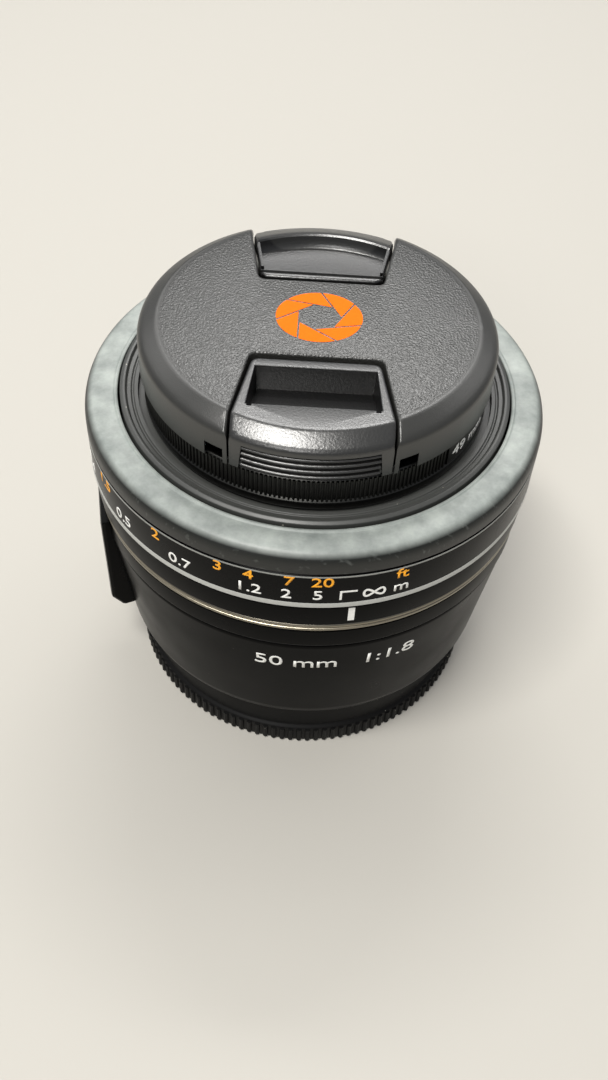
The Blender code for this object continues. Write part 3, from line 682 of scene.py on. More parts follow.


def bloomed_rubber(name, chalky, grey, side_shade):
    """Rubber: 7 mm clouds of bloom, finger scuffs drawn out, a fine grit, and painted shade on
    its sides.
    """
    material, tree, shader, place = blank_material(name, grey, 0.42, Specular_IOR_Level=0.45)
    clouds = node(tree, "ShaderNodeTexNoise", {
        "Vector": place, "Scale": 1 / (7 * MM), "Detail": 5.0, "Roughness": 0.65})
    tone = node(tree, "ShaderNodeMapRange", {
        "Value": clouds.outputs["Fac"], "From Min": 0.35, "From Max": 0.68})
    mottled = node(tree, "ShaderNodeMix", {
        "Factor": tone.outputs["Result"], "A": linear(grey), "B": linear(chalky)},
        data_type="RGBA")
    flat = node(tree, "ShaderNodeSeparateXYZ", {0: place})
    # painted shade: below these heights the tyre's sides are painted near black, standing in for
    # the shade they fall in
    down = node(tree, "ShaderNodeMapRange", {
        "Value": flat.outputs["Z"], "From Min": SIDE_SHADE_TOP * MM,
        "From Max": GREY_TOP_FROM * MM, "To Min": 1.0, "To Max": 0.0})
    side_shaded = node(tree, "ShaderNodeMix", {
        "Factor": down.outputs["Result"], "A": mottled.outputs["Result"], "B": linear(side_shade)},
        data_type="RGBA")
    stretched = node(tree, "ShaderNodeMapping", {"Vector": place, "Scale": (1, 3.5, 1)})
    scuffs = node(tree, "ShaderNodeTexNoise", {
        "Vector": stretched.outputs[0], "Scale": 1 / (1.3 * MM), "Detail": 4.0})
    scuff_and_shade_mask = node(tree, "ShaderNodeMapRange", {
        "Value": scuffs.outputs["Fac"], "From Min": 0.6, "From Max": 0.78, "To Max": 0.16})
    surface_tone = node(tree, "ShaderNodeMix", {
        "Factor": scuff_and_shade_mask.outputs["Result"], "A": side_shaded.outputs["Result"],
        "B": linear(chalky)}, data_type="RGBA")
    tree.links.new(surface_tone.outputs["Result"], shader.inputs["Base Color"])
    grit = node(tree, "ShaderNodeTexNoise", {
        "Vector": place, "Scale": 1 / (0.3 * MM), "Detail": 3.0})
    bump = node(tree, "ShaderNodeBump", {"Height": grit.outputs["Fac"], "Distance": 0.012 * MM})
    tree.links.new(bump.outputs["Normal"], shader.inputs["Normal"])
    return material


# the last colour is the painted shade on the tyre's sides
RUBBER = bloomed_rubber("natural_rubber_bloomed_grey_shaded_sides", "#a0a6a1", "#747a77", "#161816")
grip = turned(
    "focus_rubber_tyre",
    [(29.95, 54.7), (29.95, 56.35, 0.12), (30.35, 56.5, 0.12), (30.6, 56.28, 0.15),
     (32.4, 56.4, 0.9), (34.1, 56.1, 0.7), (35.0, 54.9, 0.8), (35.0, 52.7, 0.2),
     (33.9, 52.7), (33.9, 54.7)],
    RUBBER, "focus_ring", "focus_rubber_grip",
)

# --- Front tube and name ring -------------------------------------------------------------
# The tube that slides out as the lens focuses is moulded in matt black polycarbonate, a
# little dusty, with the filter thread in its mouth. The name ring hides the lens cell.
# Matt and dusty: it reads as a dark grey, and its lip catches a soft line of light
TUBE_BLACK = moulded("matt_black_polycarbonate_tube", "#3b3c3a", 0.42, 0.22, 0.006,
                     dust=0.075, level=0.6)
front_tube = turned(
    "front_tube_shell",
    [(26.9, 56.4), (27.45, 56.4, 0.08), (27.6, 56.15, 0.06), (27.8, 56.15, 0.06),
     (27.95, 56.4, 0.08), (28.55, 56.4, 0.12), (28.75, 56.95, 0.1), (29.1, 57.0, 0.1),
     (29.6, 56.72, 0.1), (29.6, 52.5), (27.6, 51.2), (27.6, 31.0), (26.2, 31.0), (26.2, 41.0),
     (20.2, 41.0), (20.2, 42.4), (25.6, 42.4), (25.6, 50.6), (24.8, 51.2), (24.8, 55.3, 0.2),
     (26.8, 55.3), (26.9, 55.4)],
    TUBE_BLACK, "front_unit", "front_tube",
)

name_ring = turned(
    "name_ring_stepped",
    [(16.2, 46.3), (17.6, 47.0), (17.75, 46.8), (19.0, 47.75), (19.15, 47.55), (20.4, 48.6),
     (20.55, 48.4), (21.4, 49.3), (21.6, 49.9), (24.2, 51.7, 0.15), (24.4, 51.9),
     (24.4, 50.8), (17.0, 45.6), (16.2, 45.6)],
    TUBE_BLACK, "front_unit", "name_ring", facets=120,
)

# --- Optics -------------------------------------------------------------------------------
# Six polished elements, multi-coated against flare: the coating gives a faint violet-green
# reflection. The aluminium cells that hold them are anodised black.


COAT_IOR, SMEAR_PATCH = 1.38, 6.0  # magnesium fluoride, and mm across a cleaning smear


def coated_glass(name, film):
    """Polished glass under a coating this many nanometres thick, with a trace of smears."""
    material, tree, shader, place = blank_material(
        name, "#f4f8f6", 0.0, Transmission_Weight=1.0, IOR=1.6)
    shader.inputs["Thin Film Thickness"].default_value = film
    shader.inputs["Thin Film IOR"].default_value = COAT_IOR
    smear = node(tree, "ShaderNodeTexNoise", {"Vector": place, "Scale": 1 / (SMEAR_PATCH * MM)})
    cleaned = node(tree, "ShaderNodeMapRange", {
        "Value": smear.outputs["Fac"], "From Min": 0.55, "From Max": 0.8, "To Max": 0.05})
    tree.links.new(cleaned.outputs["Result"], shader.inputs["Roughness"])
    return material


COATED = coated_glass("crown_glass_multicoated", 340.0)
refinish(COATED, *[f"lens_element_{number}" for number in range(2, 7)])


def dome(radius, edge, sag, steps=12):
    """Half of a spherical face, from the axis out to its edge."""
    return [(radius * i / steps, edge + sag * (1 - (i / steps) ** 2)) for i in range(steps + 1)]


front_element = turned(
    "front_element_polished", dome(15.5, 41.4, 3.0) + dome(15.5, 39.4, -0.3)[::-1],
    COATED, "front_unit", "lens_element_1", closed=False, facets=96,
)

# --- Filter -------------------------------------------------------------------------------
# A protection filter: a knurled aluminium ring, anodised black, with its size engraved on a
# plain stretch, a coated glass disc, and a screwed ring that holds the glass.
FILTER_RADIUS = 25.9
# Anodising over a lathe finish: a dark satin grey that glints along each rib of the knurl
FILTER_BLACK = turned_metal("black_anodised_filter_ring", "#454543", 0.34, 0.14, 0.002)
PLAIN_FROM, PLAIN_TO = -42.0, 52.0  # the arc without a knurl, and its two heights
BAND_LOW, BAND_HIGH, BAND_EDGE = 57.4, 61.1, 0.15
filter_ring = turned(
    "filter_ring_knurled",
    [(24.6, 61.2), (25.35, 61.2, 0.1), (25.6, 60.95, 0.1), (25.6, 57.45),
     (FILTER_RADIUS, 57.1, 0.06), (FILTER_RADIUS, 55.95, 0.12),
     (25.7, 55.7, 0.1), (24.45, 55.7), (24.45, 53.0), (22.8, 53.0), (22.8, 56.6),
     (24.6, 56.6)],
    FILTER_BLACK, "filter", "filter_ring",
    ribs={"Ribs": 182, "First angle": PLAIN_TO, "Last angle": PLAIN_FROM + 360,
          "Circle": 25.6, "Depth": 0.28, "Width": 0.42, "Foot": 57.3, "Top": 61.05},
)
patch("filter_plain_band", np.linspace(PLAIN_FROM, PLAIN_TO, 60),
      eased(BAND_LOW, BAND_HIGH, BAND_EDGE, 4),
      lambda angle, z: FILTER_RADIUS - 0.12 * crown(z, BAND_LOW, BAND_HIGH, BAND_EDGE),
      lambda angle, z: 25.3, FILTER_BLACK, "filter")
wrapped("filter_size_print",
        [(flat_text("49 mm", 1.9, 1.2, 0.02), -30.0, 59.2)],
        lambda z: FILTER_RADIUS, WHITE_INK, "filter")

FILTER_GLASS = coated_glass("filter_glass_multicoated", 300.0)
filter_disc = turned(
    "filter_glass_disc",
    [(0, 58.4), (23.9, 58.4, 0.1), (24.2, 58.2, 0.1), (24.2, 57.1, 0.1), (23.9, 56.9, 0.1),
     (0, 56.9)],
    FILTER_GLASS, "filter", "filter_glass", closed=False, facets=96,
)
retainer = turned(
    "filter_retainer_ring",
    [(24.2, 59.5, 0.1), (24.2, 58.7), (22.9, 58.7), (22.9, 59.0), (23.3, 59.5, 0.1)],
    ANODISED, "filter", "filter_retaining_ring",
)

# --- Front cap: cover ---------------------------------------------------------------------
# Moulded in black ABS with a leather grain on its flat top, and smooth on its chamfer. Two
# slots let the pinch tabs slide in, with small windows beside them for the mould's cores.
CAP_RADIUS = 26.3
GRAIN_RADIUS = 23.2  # where the leather grain ends, just inside the flat's edge
CAP_PROFILE = [(0, 68.6), (23.4, 68.6), (23.62, 68.55), (23.85, 68.42), (25.4, 67.5),
               (25.75, 67.25), (26.05, 66.95), (26.22, 66.65), (CAP_RADIUS, 66.3)]


def leather_grained(name, colour, grain, relief):
    """ABS with a leather grain on its flat, and a fine satin outside it.

    grain is a pebble's width and relief its height in mm. Each pebble breaks the light into
    a small glint, which makes the flat look grey beside the smooth chamfer.
    """
    material, tree, shader, place = blank_material(
        name, colour, 0.34, Specular_IOR_Level=0.75)
    warp = node(tree, "ShaderNodeTexNoise", {"Vector": place, "Scale": 1 / (0.8 * MM)})
    shift = node(tree, "ShaderNodeVectorMath", {
        0: warp.outputs["Color"], "Scale": 0.2 * MM}, operation="SCALE")
    bent = node(tree, "ShaderNodeVectorMath", {0: place, 1: shift.outputs[0]}, operation="ADD")
    cells = node(tree, "ShaderNodeTexVoronoi", {
        "Vector": bent.outputs[0], "Scale": 1 / (grain * MM)}, feature="SMOOTH_F1")
    fine = node(tree, "ShaderNodeTexNoise", {
        "Vector": place, "Scale": 1 / (0.16 * MM), "Detail": 2.0})
    parts = node(tree, "ShaderNodeSeparateXYZ", {0: place})
    flat = node(tree, "ShaderNodeCombineXYZ", {"X": parts.outputs["X"], "Y": parts.outputs["Y"]})
    radius = node(tree, "ShaderNodeVectorMath", {0: flat.outputs[0]}, operation="LENGTH")
    leather = node(tree, "ShaderNodeMapRange", {
        "Value": radius.outputs["Value"], "From Min": (GRAIN_RADIUS - 0.5) * MM,
        "From Max": GRAIN_RADIUS * MM, "To Min": 1.0, "To Max": 0.0})
    pebbles = maths(tree, "MULTIPLY", cells.outputs["Distance"], leather.outputs["Result"])
    height = maths(tree, "ADD", pebbles, maths(tree, "MULTIPLY", fine.outputs["Fac"], 0.22))
    bump = node(tree, "ShaderNodeBump", {"Height": height, "Distance": relief * MM})
    tree.links.new(bump.outputs["Normal"], shader.inputs["Normal"])
    return material


CAP_ABS = leather_grained("black_abs_leather_grain", "#2a2a28", 0.28, 0.085)
TAB_NARROW, TAB_WIDE, TAB_SHOULDER = 9.0, 11.0, 21.0  # half-widths, and where it is widest


def tab_path(side, room, inner, radius):
    """The slot's edge from its right end to its left, round the tab's inner side."""
    half, wide = TAB_NARROW + room, TAB_WIDE + room
    reach = math.sqrt(radius ** 2 - wide ** 2)
    corners = [(wide, reach), (wide, TAB_SHOULDER, 0.5), (half, inner, 1.1),
               (-half, inner, 1.1), (-wide, TAB_SHOULDER, 0.5), (-wide, reach)]
    return [(x * side, y * side) for x, y in rounded(corners)]


def relief(name, outline, creases, top, foot, material, body, *replaced, sharp=28):
    """A closed solid seen from the front: top and foot give its two heights at each point."""
    points = [Vector(p) for p in outline]
    edges = [(i, (i + 1) % len(outline)) for i in range(len(outline))]
    for crease in creases:
        first = len(points)
        points += [Vector(p) for p in crease]
        edges += [(first + i, first + i + 1) for i in range(len(crease) - 1)]
    spots, _, faces, *_ = delaunay_2d_cdt(points, edges, [], 1, 1e-4)
    plan = np.array([tuple(spot) for spot in spots])
    count = len(plan)
    solid = bmesh.new()
    layers = []
    for heights in (top(plan), foot(plan)):
        layers.append([solid.verts.new((x * MM, y * MM, z * MM))
                       for (x, y), z in zip(plan, heights)])
    used = {}
    for face in faces:
        a, b, c = (Vector((*plan[i], 0)) for i in face)
        ring = list(face) if (b - a).cross(c - a).z > 0 else list(reversed(face))
        solid.faces.new([layers[0][i] for i in ring])
        solid.faces.new([layers[1][i] for i in reversed(ring)])
        for start, stop in zip(ring, ring[1:] + ring[:1]):
            used[start, stop] = used.get((start, stop), 0) + 1
    for start, stop in used:
        if (stop, start) not in used:
            solid.faces.new((layers[0][start], layers[1][start], layers[1][stop],
                             layers[0][stop]))
    loose = [vert for vert in solid.verts if not vert.link_faces]
    bmesh.ops.delete(solid, geom=loose, context="VERTS")
    mesh = bpy.data.meshes.new(name)
    solid.to_mesh(mesh)
    solid.free()
    mesh.materials.append(material)
    piece = bpy.data.objects.new(name, mesh)
    bpy.context.scene.collection.objects.link(piece)
    return settle(piece, body, *replaced, sharp=sharp)


def distance_to(path, plan):
    """Each point's distance to a path."""
    path = np.array(path)
    start, along = path[:-1], path[1:] - path[:-1]
    offset = plan[:, None] - start
    share = np.clip((offset * along).sum(2) / (along ** 2).sum(1), 0, 1)
    return np.hypot(*np.moveaxis(offset - share[..., None] * along, 2, 0)).min(1)


def inside_only(crease, outline, margin):
    """The parts of a crease that lie inside an outline, clear of its edge."""
    points, ring = np.array(crease), np.array(outline)
    after = np.roll(ring, -1, axis=0)
    crosses = (ring[:, 1] > points[:, None, 1]) != (after[:, 1] > points[:, None, 1])
    rise = np.where(after[:, 1] == ring[:, 1], 1e-9, after[:, 1] - ring[:, 1])
    at = ring[:, 0] + (points[:, None, 1] - ring[:, 1]) * (after[:, 0] - ring[:, 0]) / rise
    inside = ((crosses & (points[:, None, 0] < at)).sum(1) % 2 == 1)
    kept = inside & (distance_to([*outline, outline[0]], points) > margin)
    runs, run = [], []
    for point, keep in zip(crease, kept):
        if keep:
            run.append(point)
        elif run:
            runs.append(run)
            run = []
    runs.append(run)
    return [run for run in runs if len(run) > 1]


def arc_points(radius, start, stop, step=2.0):
    """Points round the axis, about this many degrees apart."""
    count = max(2, int(abs(stop - start) / step))
    angles = np.radians(np.linspace(start, stop, count + 1))
    return [(radius * math.cos(a), radius * math.sin(a)) for a in angles]


WINDOWS = (11.9, 14.5)  # how far out from the middle each small window starts and ends
SLOT_ROOM, SLOT_INNER, EASE = 0.3, 8.6, 0.4  # gap beside a tab, slot's end, rounded edge
EASE_STEPS = (0.03, 0.1, 0.22, EASE)  # distances from an edge where its rounding has a crease
SKIRT_INNER = 24.88
SKIRT_FOOT, WINDOW_TOP, TOP_FOOT = 61.5, 64.0, 66.0


def cover_outline(shrink=0.0):
    """The cover seen from the front, this much inside its edge."""
    radius, room = CAP_RADIUS - shrink, SLOT_ROOM + shrink
    slots = [tab_path(side, room, SLOT_INNER - shrink, radius) for side in (1, -1)]
    loop = []
    for turn, slot in zip((0, 180), slots):
        stop = math.degrees(math.acos((TAB_WIDE + room) / radius))
        angles = list(np.linspace(-stop, stop, 66))
        angles += [side * math.degrees(math.acos((x + step) / radius)) for x in WINDOWS
                   for step in (-0.01, 0.01) for side in (-1, 1)]
        for angle in sorted(angles)[1:-1]:
            a = math.radians(angle + turn)
            loop.append((radius * math.cos(a), radius * math.sin(a)))
        loop += slot
    return loop


def fall(distance, edge):
    """The drop of a rounded edge of this size, at a distance from it."""
    near = np.clip(1 - distance / edge, 0, 1)
    return edge * (1 - np.sqrt(1 - near ** 2))


def cover_top(plan):
    """The cover's profile, with a rounded edge along its slots."""
    radius = np.hypot(*plan.T)
    heights = np.interp(radius, *zip(*CAP_PROFILE))
    for side in (1, -1):
        path = tab_path(side, SLOT_ROOM, SLOT_INNER, CAP_RADIUS + 0.5)
        heights = heights - fall(distance_to(path, plan), EASE)
    return heights


def cover_foot(plan):
    """A thin top with a deep skirt, cut away below each window."""
    x, y = np.abs(plan.T)
    skirt = np.hypot(x, y) > SKIRT_INNER
    windowed = (x > WINDOWS[0]) & (x < WINDOWS[1]) & (y > 20) & skirt
    return np.where(windowed, WINDOW_TOP, np.where(skirt, SKIRT_FOOT, TOP_FOOT))


outline = cover_outline()
creases = [inside_only(cover_outline(size) + cover_outline(size)[:1], outline, 0.01)
           for size in EASE_STEPS]
creases += [inside_only(arc_points(radius, 0, 360), outline, 0.3)
            for radius in (23.4, 23.62, 23.85, SKIRT_INNER - STEP, SKIRT_INNER + STEP, 25.4,
                           25.75)]
for x, step, x_side, y_side in itertools.product(WINDOWS, (-0.01, 0.01), (-1, 1), (-1, 1)):
    creases.append([[((x + step) * x_side, math.sqrt(r ** 2 - x ** 2) * y_side)
                     for r in (24.95, CAP_RADIUS - 0.3)]])
cap_cover = relief(
    "front_cap_cover_grained", outline, [run for runs in creases for run in runs],
    cover_top, cover_foot, CAP_ABS, "front_cap", "front_cap_cover")
refinish(moulded("black_abs_back_plate", "#141414", 0.5, 0.4, 0.008), "front_cap_back_plate")

# --- Front cap: pinch tabs ----------------------------------------------------------------
# Each tab is one moulding: a strip at its inner edge, a scooped well for the fingertip, an
# outer rim, and four grip ridges down its side. Springs push them out into the filter ring.
TAB_INNER = 9.6
LIP, LIP_EDGE, WELL_OUTER = 11.3, 0.25, 19.0  # the near well's ends, and its edge's drop
NOTCHES = (8.3, 9.0, 18.6, 19.6)  # the near tab's two core marks: inner to outer, near to far
PANEL_HALF, PANEL_DEPTH, PANEL_TOP = 9.7, 25.7, 65.95  # a recess for the grip ridges
SKIRT_IN, HOOK_IN, HOOK_HALF = 24.2, 22.9, 8.2  # radii of the tab's skirt and its hook
TAB_SKIRT_FOOT, HOOK_FOOT, PLATE_FOOT = 61.7, 59.9, 63.6
RIM_RADIUS, RIM_REACH = 20.75, 1.1  # the far tab's rim, and how far its scoop curves up to it
STRIP = [(TAB_INNER, 68.3), (10.3, 68.3), (10.45, 67.55), (11.6, 67.4), (11.75, 67.75),
         (11.9, 67.75), (12.1, 67.0)]  # the far tab's inner strip: distance out and height
STRIP_END = STRIP[-1][0]
SIDE_WALL = 0.6


def tab_outline(side, shrink=0.0):
    """A tab seen from the front, this much inside its edge."""
    radius = CAP_RADIUS - shrink
    path = tab_path(side, -shrink, TAB_INNER + shrink, radius)
    span = 90 - math.degrees(math.acos((TAB_WIDE - shrink) / radius))
    return path + arc_points(radius, 90 * side + span, 90 * side - span, 1.0)[1:-1]


def tab_with_shaded_wells(name, surface_tone, well_shade):
    """ABS with a fine spark grain, greyer outside, and painted near black inside WELL_OUTER as
    painted shade in the wells.
    """
    material, tree, shader, place = blank_material(name, surface_tone, 0.3, Specular_IOR_Level=0.9)
    pits = node(tree, "ShaderNodeTexNoise", {
        "Vector": place, "Scale": 1 / (0.35 * MM), "Detail": 3.0})
    bump = node(tree, "ShaderNodeBump", {"Height": pits.outputs["Fac"], "Distance": 0.03 * MM})
    tree.links.new(bump.outputs["Normal"], shader.inputs["Normal"])
    parts = node(tree, "ShaderNodeSeparateXYZ", {0: place})
    out = maths(tree, "ABSOLUTE", parts.outputs["Y"])
    # painted shade: the inner part of each tab, where the wells lie, takes the near black colour
    scuff_and_shade_mask = node(tree, "ShaderNodeMapRange", {
        "Value": out, "From Min": (WELL_OUTER - 0.1) * MM,
        "From Max": (WELL_OUTER + 0.1) * MM})
    tone = node(tree, "ShaderNodeMix", {
        "Factor": scuff_and_shade_mask.outputs["Result"], "A": linear(well_shade), "B": linear(surface_tone)},
        data_type="RGBA")
    tree.links.new(tone.outputs["Result"], shader.inputs["Base Color"])
    return material


# the second colour is the painted shade inside the wells
TAB_ABS = tab_with_shaded_wells("black_abs_fine_spark_tab_shaded_wells", "#242423", "#0b0b0b")


def well_half(y):
    """Half the near tab's well, which widens outward with the tab."""
    return 8.4 + 0.09 * (y - LIP)


def well_loop(side, shrink):
    """The near tab's well, as a closed path this much inside its edge."""
    near, far = LIP + shrink, WELL_OUTER - shrink
    inner, outer = well_half(near) - shrink, well_half(far) - shrink
    corners = [(-inner, near), (inner, near), (outer, far), (-outer, far), (-inner, near)]
    return [(x, y * side) for x, y in corners]


def front_tab_top(plan):
    """The near tab's rim is flush with the cover, with a straight inner edge."""
    edge = fall(distance_to(well_loop(-1, 0), plan), LIP_EDGE)
    x, y = np.abs(plan.T)
    top = np.interp(np.hypot(x, y), *zip(*CAP_PROFILE))
    into = np.minimum.reduce([(y - LIP) / 0.2, (WELL_OUTER - y) / 0.2,
                              (well_half(y) - x) / 0.2])
    top = top - np.where(into > 0, LIP_EDGE, edge)
    floor = 64.4 + (y - LIP) * 0.3
    inner, outer, near, far = NOTCHES
    notch = np.minimum.reduce([(x - inner) / 0.1, (outer - x) / 0.1, (y - near) / 0.1,
                               (far - y) / 0.1])
    top = top + (floor - top) * np.clip(into, 0, 1)
    return np.where(notch > 0, np.minimum(top, 68.6 - 2.4 * np.clip(notch, 0, 1)), top)


def side_wall(y):
    """Where the far tab's side wall stands, a little inside the tab's edge."""
    widening = (TAB_WIDE - TAB_NARROW) / (TAB_SHOULDER - TAB_INNER)
    return TAB_NARROW + (y - TAB_INNER) * widening - SIDE_WALL


def rear_tab_top(plan):
    """The far tab is scooped right out to a low curved rim, behind a stepped strip."""
    x, y = np.abs(plan.T)
    radius = np.hypot(x, y)
    top = np.interp(radius, [0, RIM_RADIUS, 21.0, 21.8, 25.4, 25.9, 26.2, CAP_RADIUS],
                    [68.2, 68.2, 68.4, 68.2, 66.5, 66.15, 65.8, 65.4])
    floor = 66.75 - (y - STRIP_END) * 0.04
    outer = np.clip((RIM_RADIUS - radius) / RIM_REACH, 0, 1)
    into = np.minimum(1 - (1 - outer) ** 2.6, (side_wall(y) - x) / 0.15)
    top = top + (floor - top) * np.clip(into, 0, 1)
    return np.where(y < STRIP_END + 0.01, np.interp(y, *zip(*STRIP)), top)


def tab_foot(plan):
    """Under a tab: its plate, the hook that grips the thread, its skirt and the recess."""
    x, y = np.abs(plan.T)
    radius = np.hypot(x, y)
    skirt, hook = radius > SKIRT_IN, radius > HOOK_IN
    foot = np.where(skirt, TAB_SKIRT_FOOT, np.where(hook, HOOK_FOOT, PLATE_FOOT))
    foot = np.where((x > HOOK_HALF) & hook, TAB_SKIRT_FOOT, foot)
    return np.where((radius > PANEL_DEPTH) & (x < PANEL_HALF), PANEL_TOP, foot)


def box_loop(x_low, x_high, y_low, y_high, side):
    """A closed path round a box on one side of the cap."""
    corners = [(x_low, y_low), (x_high, y_low), (x_high, y_high), (x_low, y_high),
               (x_low, y_low)]
    return [(x, y * side) for x, y in corners]


stacking, given, end = tree_with("stack_of_ridges", Ridge="Geometry", Count="Int",
                                 Step="Vector", Material="Material")
levels = node(stacking, "GeometryNodeMeshLine", {
    "Count": given["Count"], "Offset": given["Step"]})
stacked = node(stacking, "GeometryNodeInstanceOnPoints", {
    "Points": levels.outputs[0], "Instance": given["Ridge"]})
finish_tree(stacking, end, stacked.outputs[0], given["Material"])

RIDGE_LOW, RIDGE_HIGH, RIDGE_EDGE, RIDGE_HALF, RIDGE_STEP = 62.0, 62.5, 0.2, 21.0, 1.05
for word, side, top in (("front", -1, front_tab_top), ("rear", 1, rear_tab_top)):
    outline = tab_outline(side)
    creases = [inside_only(tab_outline(side, size) + tab_outline(side, size)[:1], outline, 0.01)
               for size in EASE_STEPS]
    loops = [arc_points(radius + step, 0, 360 * side, 1.5)
             for radius in (HOOK_IN, SKIRT_IN, PANEL_DEPTH) for step in (-STEP, STEP)]
    if side < 0:
        loops += [arc_points(radius, 0, 360, 1.5) for radius in (23.4, 23.62, 23.85, 25.4)]
        loops += [well_loop(side, step) for step in (-LIP_EDGE, -0.12, -0.04, 0, 0.2)]
        inner, outer, near, far = NOTCHES
        for low, high in ((-outer, -inner), (inner, outer)):
            loops += [box_loop(low + step, high - step, near + step, far - step, side)
                      for step in (0, 0.1)]
    else:
        loops += [arc_points(radius, 50, 130, 1.5)
                  for radius in (RIM_RADIUS, 20.6, 20.4, 20.2, 19.95, 19.65, 21.0, 21.8, 25.4,
                                 25.9)]
        across = np.linspace(-TAB_WIDE, TAB_WIDE, 89)
        loops += [[(x, y) for x in across]
                  for y in [*(y for y, _ in STRIP[1:]), STRIP_END + STEP]]
        for flip in (-1, 1):
            loops += [[(flip * (side_wall(y) - step), y)
                       for y in (STRIP_END + STEP, TAB_SHOULDER)] for step in (0, 0.15)]
    for x in (PANEL_HALF - STEP, PANEL_HALF + STEP, HOOK_HALF - STEP, HOOK_HALF + STEP):
        loops += [[(x * flip, 22.5 * side), (x * flip, 26.0 * side)] for flip in (-1, 1)]
    creases += [inside_only(loop, outline, 0.02) for loop in loops]

    def edged(plan, side=side, top=top):
        """The tab's top, with its inner edge rounded as the cover's slot is."""
        path = tab_path(side, 0, TAB_INNER, CAP_RADIUS + 0.5)
        return top(plan) - fall(distance_to(path, plan), EASE)

    tab = relief(f"pinch_tab_{word}_moulded", outline, [r for runs in creases for r in runs],
                 edged, tab_foot, TAB_ABS, f"tab_{word}", f"pinch_tab_{word}")
    arc = np.linspace(90 * side - RIDGE_HALF, 90 * side + RIDGE_HALF, 40)
    ridge = patch(f"ridge_blank_{word}", arc, eased(RIDGE_LOW, RIDGE_HIGH, RIDGE_EDGE, 3),
                  lambda angle, z: 26.28 - 0.4 * crown(z, RIDGE_LOW, RIDGE_HIGH, 0.24),
                  lambda angle, z: 25.6, TAB_ABS, f"tab_{word}")
    blank = ridge.data
    bpy.data.objects.remove(ridge, do_unlink=True)
    ridges = bake(f"grip_ridges_{word}", blank, stacking, {
        "Count": 4, "Step": (0.0, 0.0, RIDGE_STEP * MM), "Material": TAB_ABS})
    settle(ridges, f"tab_{word}", sharp=50)

# --- Cap mark -----------------------------------------------------------------------------
# A plain iris, screen printed in the middle of the cap: seven blades round a hole, with fine
# gaps between them where the black plastic shows.
# The ink is matt and evenly orange, as it sits in the grain and doesn't mirror the lamps
CAP_ORANGE = printed("screen_printed_orange", "#f46c16", 0.75, 0.05)
mark = bmesh.new()
BLADES, MARK_RADIUS, HOLE = 7, 5.7, 2.9
BLADE_SIZE, MARK_WIDEN = 0.93, 1.12  # each blade shrunk to leave its gap; the mark is oval
MARK_FOOT, MARK_TOP = 68.57, 68.64
for blade in range(BLADES):
    corners = [Vector((HOLE * math.cos(a), HOLE * math.sin(a)))
               for a in (2 * math.pi * (blade + step) / BLADES for step in (-1, 0, 1))]

    def to_rim(start, stop):
        """Where the line from start through stop meets the mark's round edge."""
        along = (stop - start).normalized()
        reach = -start.dot(along) + math.sqrt(
            start.dot(along) ** 2 - start.length_squared + MARK_RADIUS ** 2)
        return start + along * reach

    ends = [to_rim(corners[0], corners[1]), to_rim(corners[1], corners[2])]
    angles = [math.atan2(end.y, end.x) for end in ends]
    if angles[1] < angles[0]:
        angles[1] += 2 * math.pi
    rim = [Vector((MARK_RADIUS * math.cos(a), MARK_RADIUS * math.sin(a)))
           for a in np.linspace(angles[1], angles[0], 9)]
    shape = [corners[1], corners[2], *rim]
    centre = sum(shape, Vector((0, 0))) / len(shape)
    flat = [centre + (spot - centre) * BLADE_SIZE for spot in shape]
    mark.faces.new([mark.verts.new((spot.x * MARK_WIDEN * MM, spot.y * MM, MARK_FOOT * MM))
                    for spot in flat])
raised = bmesh.ops.extrude_face_region(mark, geom=mark.faces[:])
for item in raised["geom"]:
    if isinstance(item, bmesh.types.BMVert):
        item.co.z = MARK_TOP * MM
bmesh.ops.recalc_face_normals(mark, faces=mark.faces)
mesh = bpy.data.meshes.new("cap_iris_mark")
mark.to_mesh(mesh)
mark.free()
mesh.materials.append(CAP_ORANGE)
iris = bpy.data.objects.new("cap_iris_mark", mesh)
bpy.context.scene.collection.objects.link(iris)
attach(iris, "front_cap")

# --- Floor, light and camera --------------------------------------------------------------
# A plain pale paper floor. One wide soft box hangs overhead and behind, with a narrow strip
# just above it that sharpens the rims' highlights, and two small boxes stand on the camera's
# side.
FLOOR_HALF, FLOOR_DROP = 20.0, 0.0001  # metres; the drop keeps it clear of the cap's foot
floor_mesh = bpy.data.meshes.new("floor")
floor_mesh.from_pydata([(x * FLOOR_HALF, y * FLOOR_HALF, -FLOOR_DROP)
                        for x, y in ((-1, -1), (1, -1), (1, 1), (-1, 1))], [], [(0, 1, 2, 3)])
paper, *_ = blank_material("pale_matt_paper", "#b4b1aa", 0.9, Specular_IOR_Level=0.2)
floor_mesh.materials.append(paper)
floor = bpy.data.objects.new("floor", floor_mesh)
bpy.context.scene.collection.objects.link(floor)


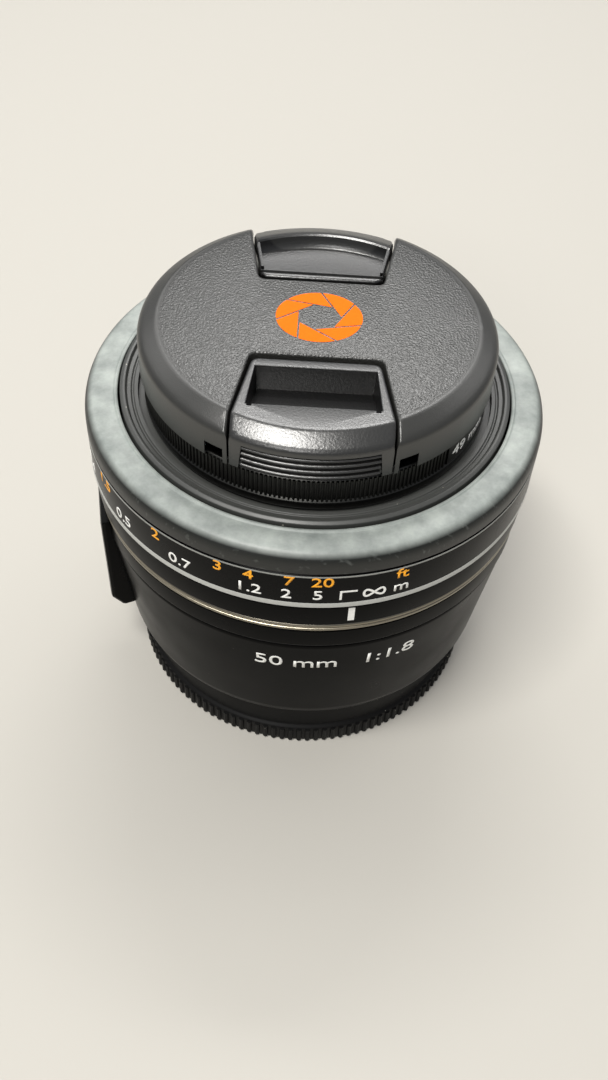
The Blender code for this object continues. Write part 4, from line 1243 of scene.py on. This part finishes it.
def soft_box(name, spot, target, width, depth, power, colour):
    """A rectangular lamp, in metres and watts, turned towards its target."""
    lamp = bpy.data.lights.new(name, "AREA")
    lamp.shape = "RECTANGLE"
    lamp.size, lamp.size_y = width, depth
    lamp.energy = power
    lamp.color = colour
    holder = bpy.data.objects.new(name, lamp)
    holder.location = spot
    holder.rotation_euler = (Vector(target) - Vector(spot)).to_track_quat("-Z", "Y").to_euler()
    bpy.context.scene.collection.objects.link(holder)


soft_box("overhead_box", (0.0, 0.40, 0.56), (0, 0, 0.04), 1.6, 0.5, 5.2, (1.0, 0.985, 0.96))
soft_box("camera_side_box", (-0.16, -0.25, 0.76), (0, 0, 0.05), 0.30, 0.10, 5.8,
         (1.0, 0.98, 0.94))
soft_box("front_box", (-0.15, -0.62, 0.52), (0, 0, 0.05), 0.26, 0.12, 1.3, (1.0, 0.98, 0.95))
soft_box("rear_strip", (0.02, 0.44, 0.64), (0, 0, 0.06), 0.34, 0.05, 1.5, (1.0, 0.99, 0.97))
world = bpy.data.worlds.new("studio")
world.use_nodes = True
sky = world.node_tree.nodes["Background"]
sky.inputs["Color"].default_value = (0.9, 0.93, 1.0, 1.0)
sky.inputs["Strength"].default_value = 0.26
bpy.context.scene.world = world
bpy.context.scene.view_settings.view_transform = "Standard"

FOCAL, FRAME_HEIGHT = 1100, 1080  # the camera's focal length in the frame's own units
SENSOR = 24.0
VIEW_DOWN, VIEW_YAW, VIEW_ROLL = 49.34, -0.166, 3.26
CAMERA_BACK, CAMERA_UP = 127.84, 167.96
camera_data = bpy.data.cameras.new("camera")
camera_data.sensor_fit = "VERTICAL"
camera_data.sensor_height = SENSOR
camera_data.lens = SENSOR * FOCAL / FRAME_HEIGHT
camera_data.clip_start = 0.01
camera = bpy.data.objects.new("camera", camera_data)
down, yaw, roll = (math.radians(v) for v in (VIEW_DOWN, VIEW_YAW, VIEW_ROLL))
ahead = Vector((math.sin(yaw) * math.cos(down), math.cos(yaw) * math.cos(down),
                -math.sin(down)))
level = Vector((math.cos(yaw), -math.sin(yaw), 0))
above = level.cross(ahead)
right = level * math.cos(roll) + above * math.sin(roll)
upward = above * math.cos(roll) - level * math.sin(roll)
camera.matrix_world = Matrix.Translation((0, -CAMERA_BACK * MM, CAMERA_UP * MM)) @ Matrix(
    (right, upward, -ahead)).transposed().to_4x4()
bpy.context.scene.collection.objects.link(camera)
bpy.context.scene.camera = camera
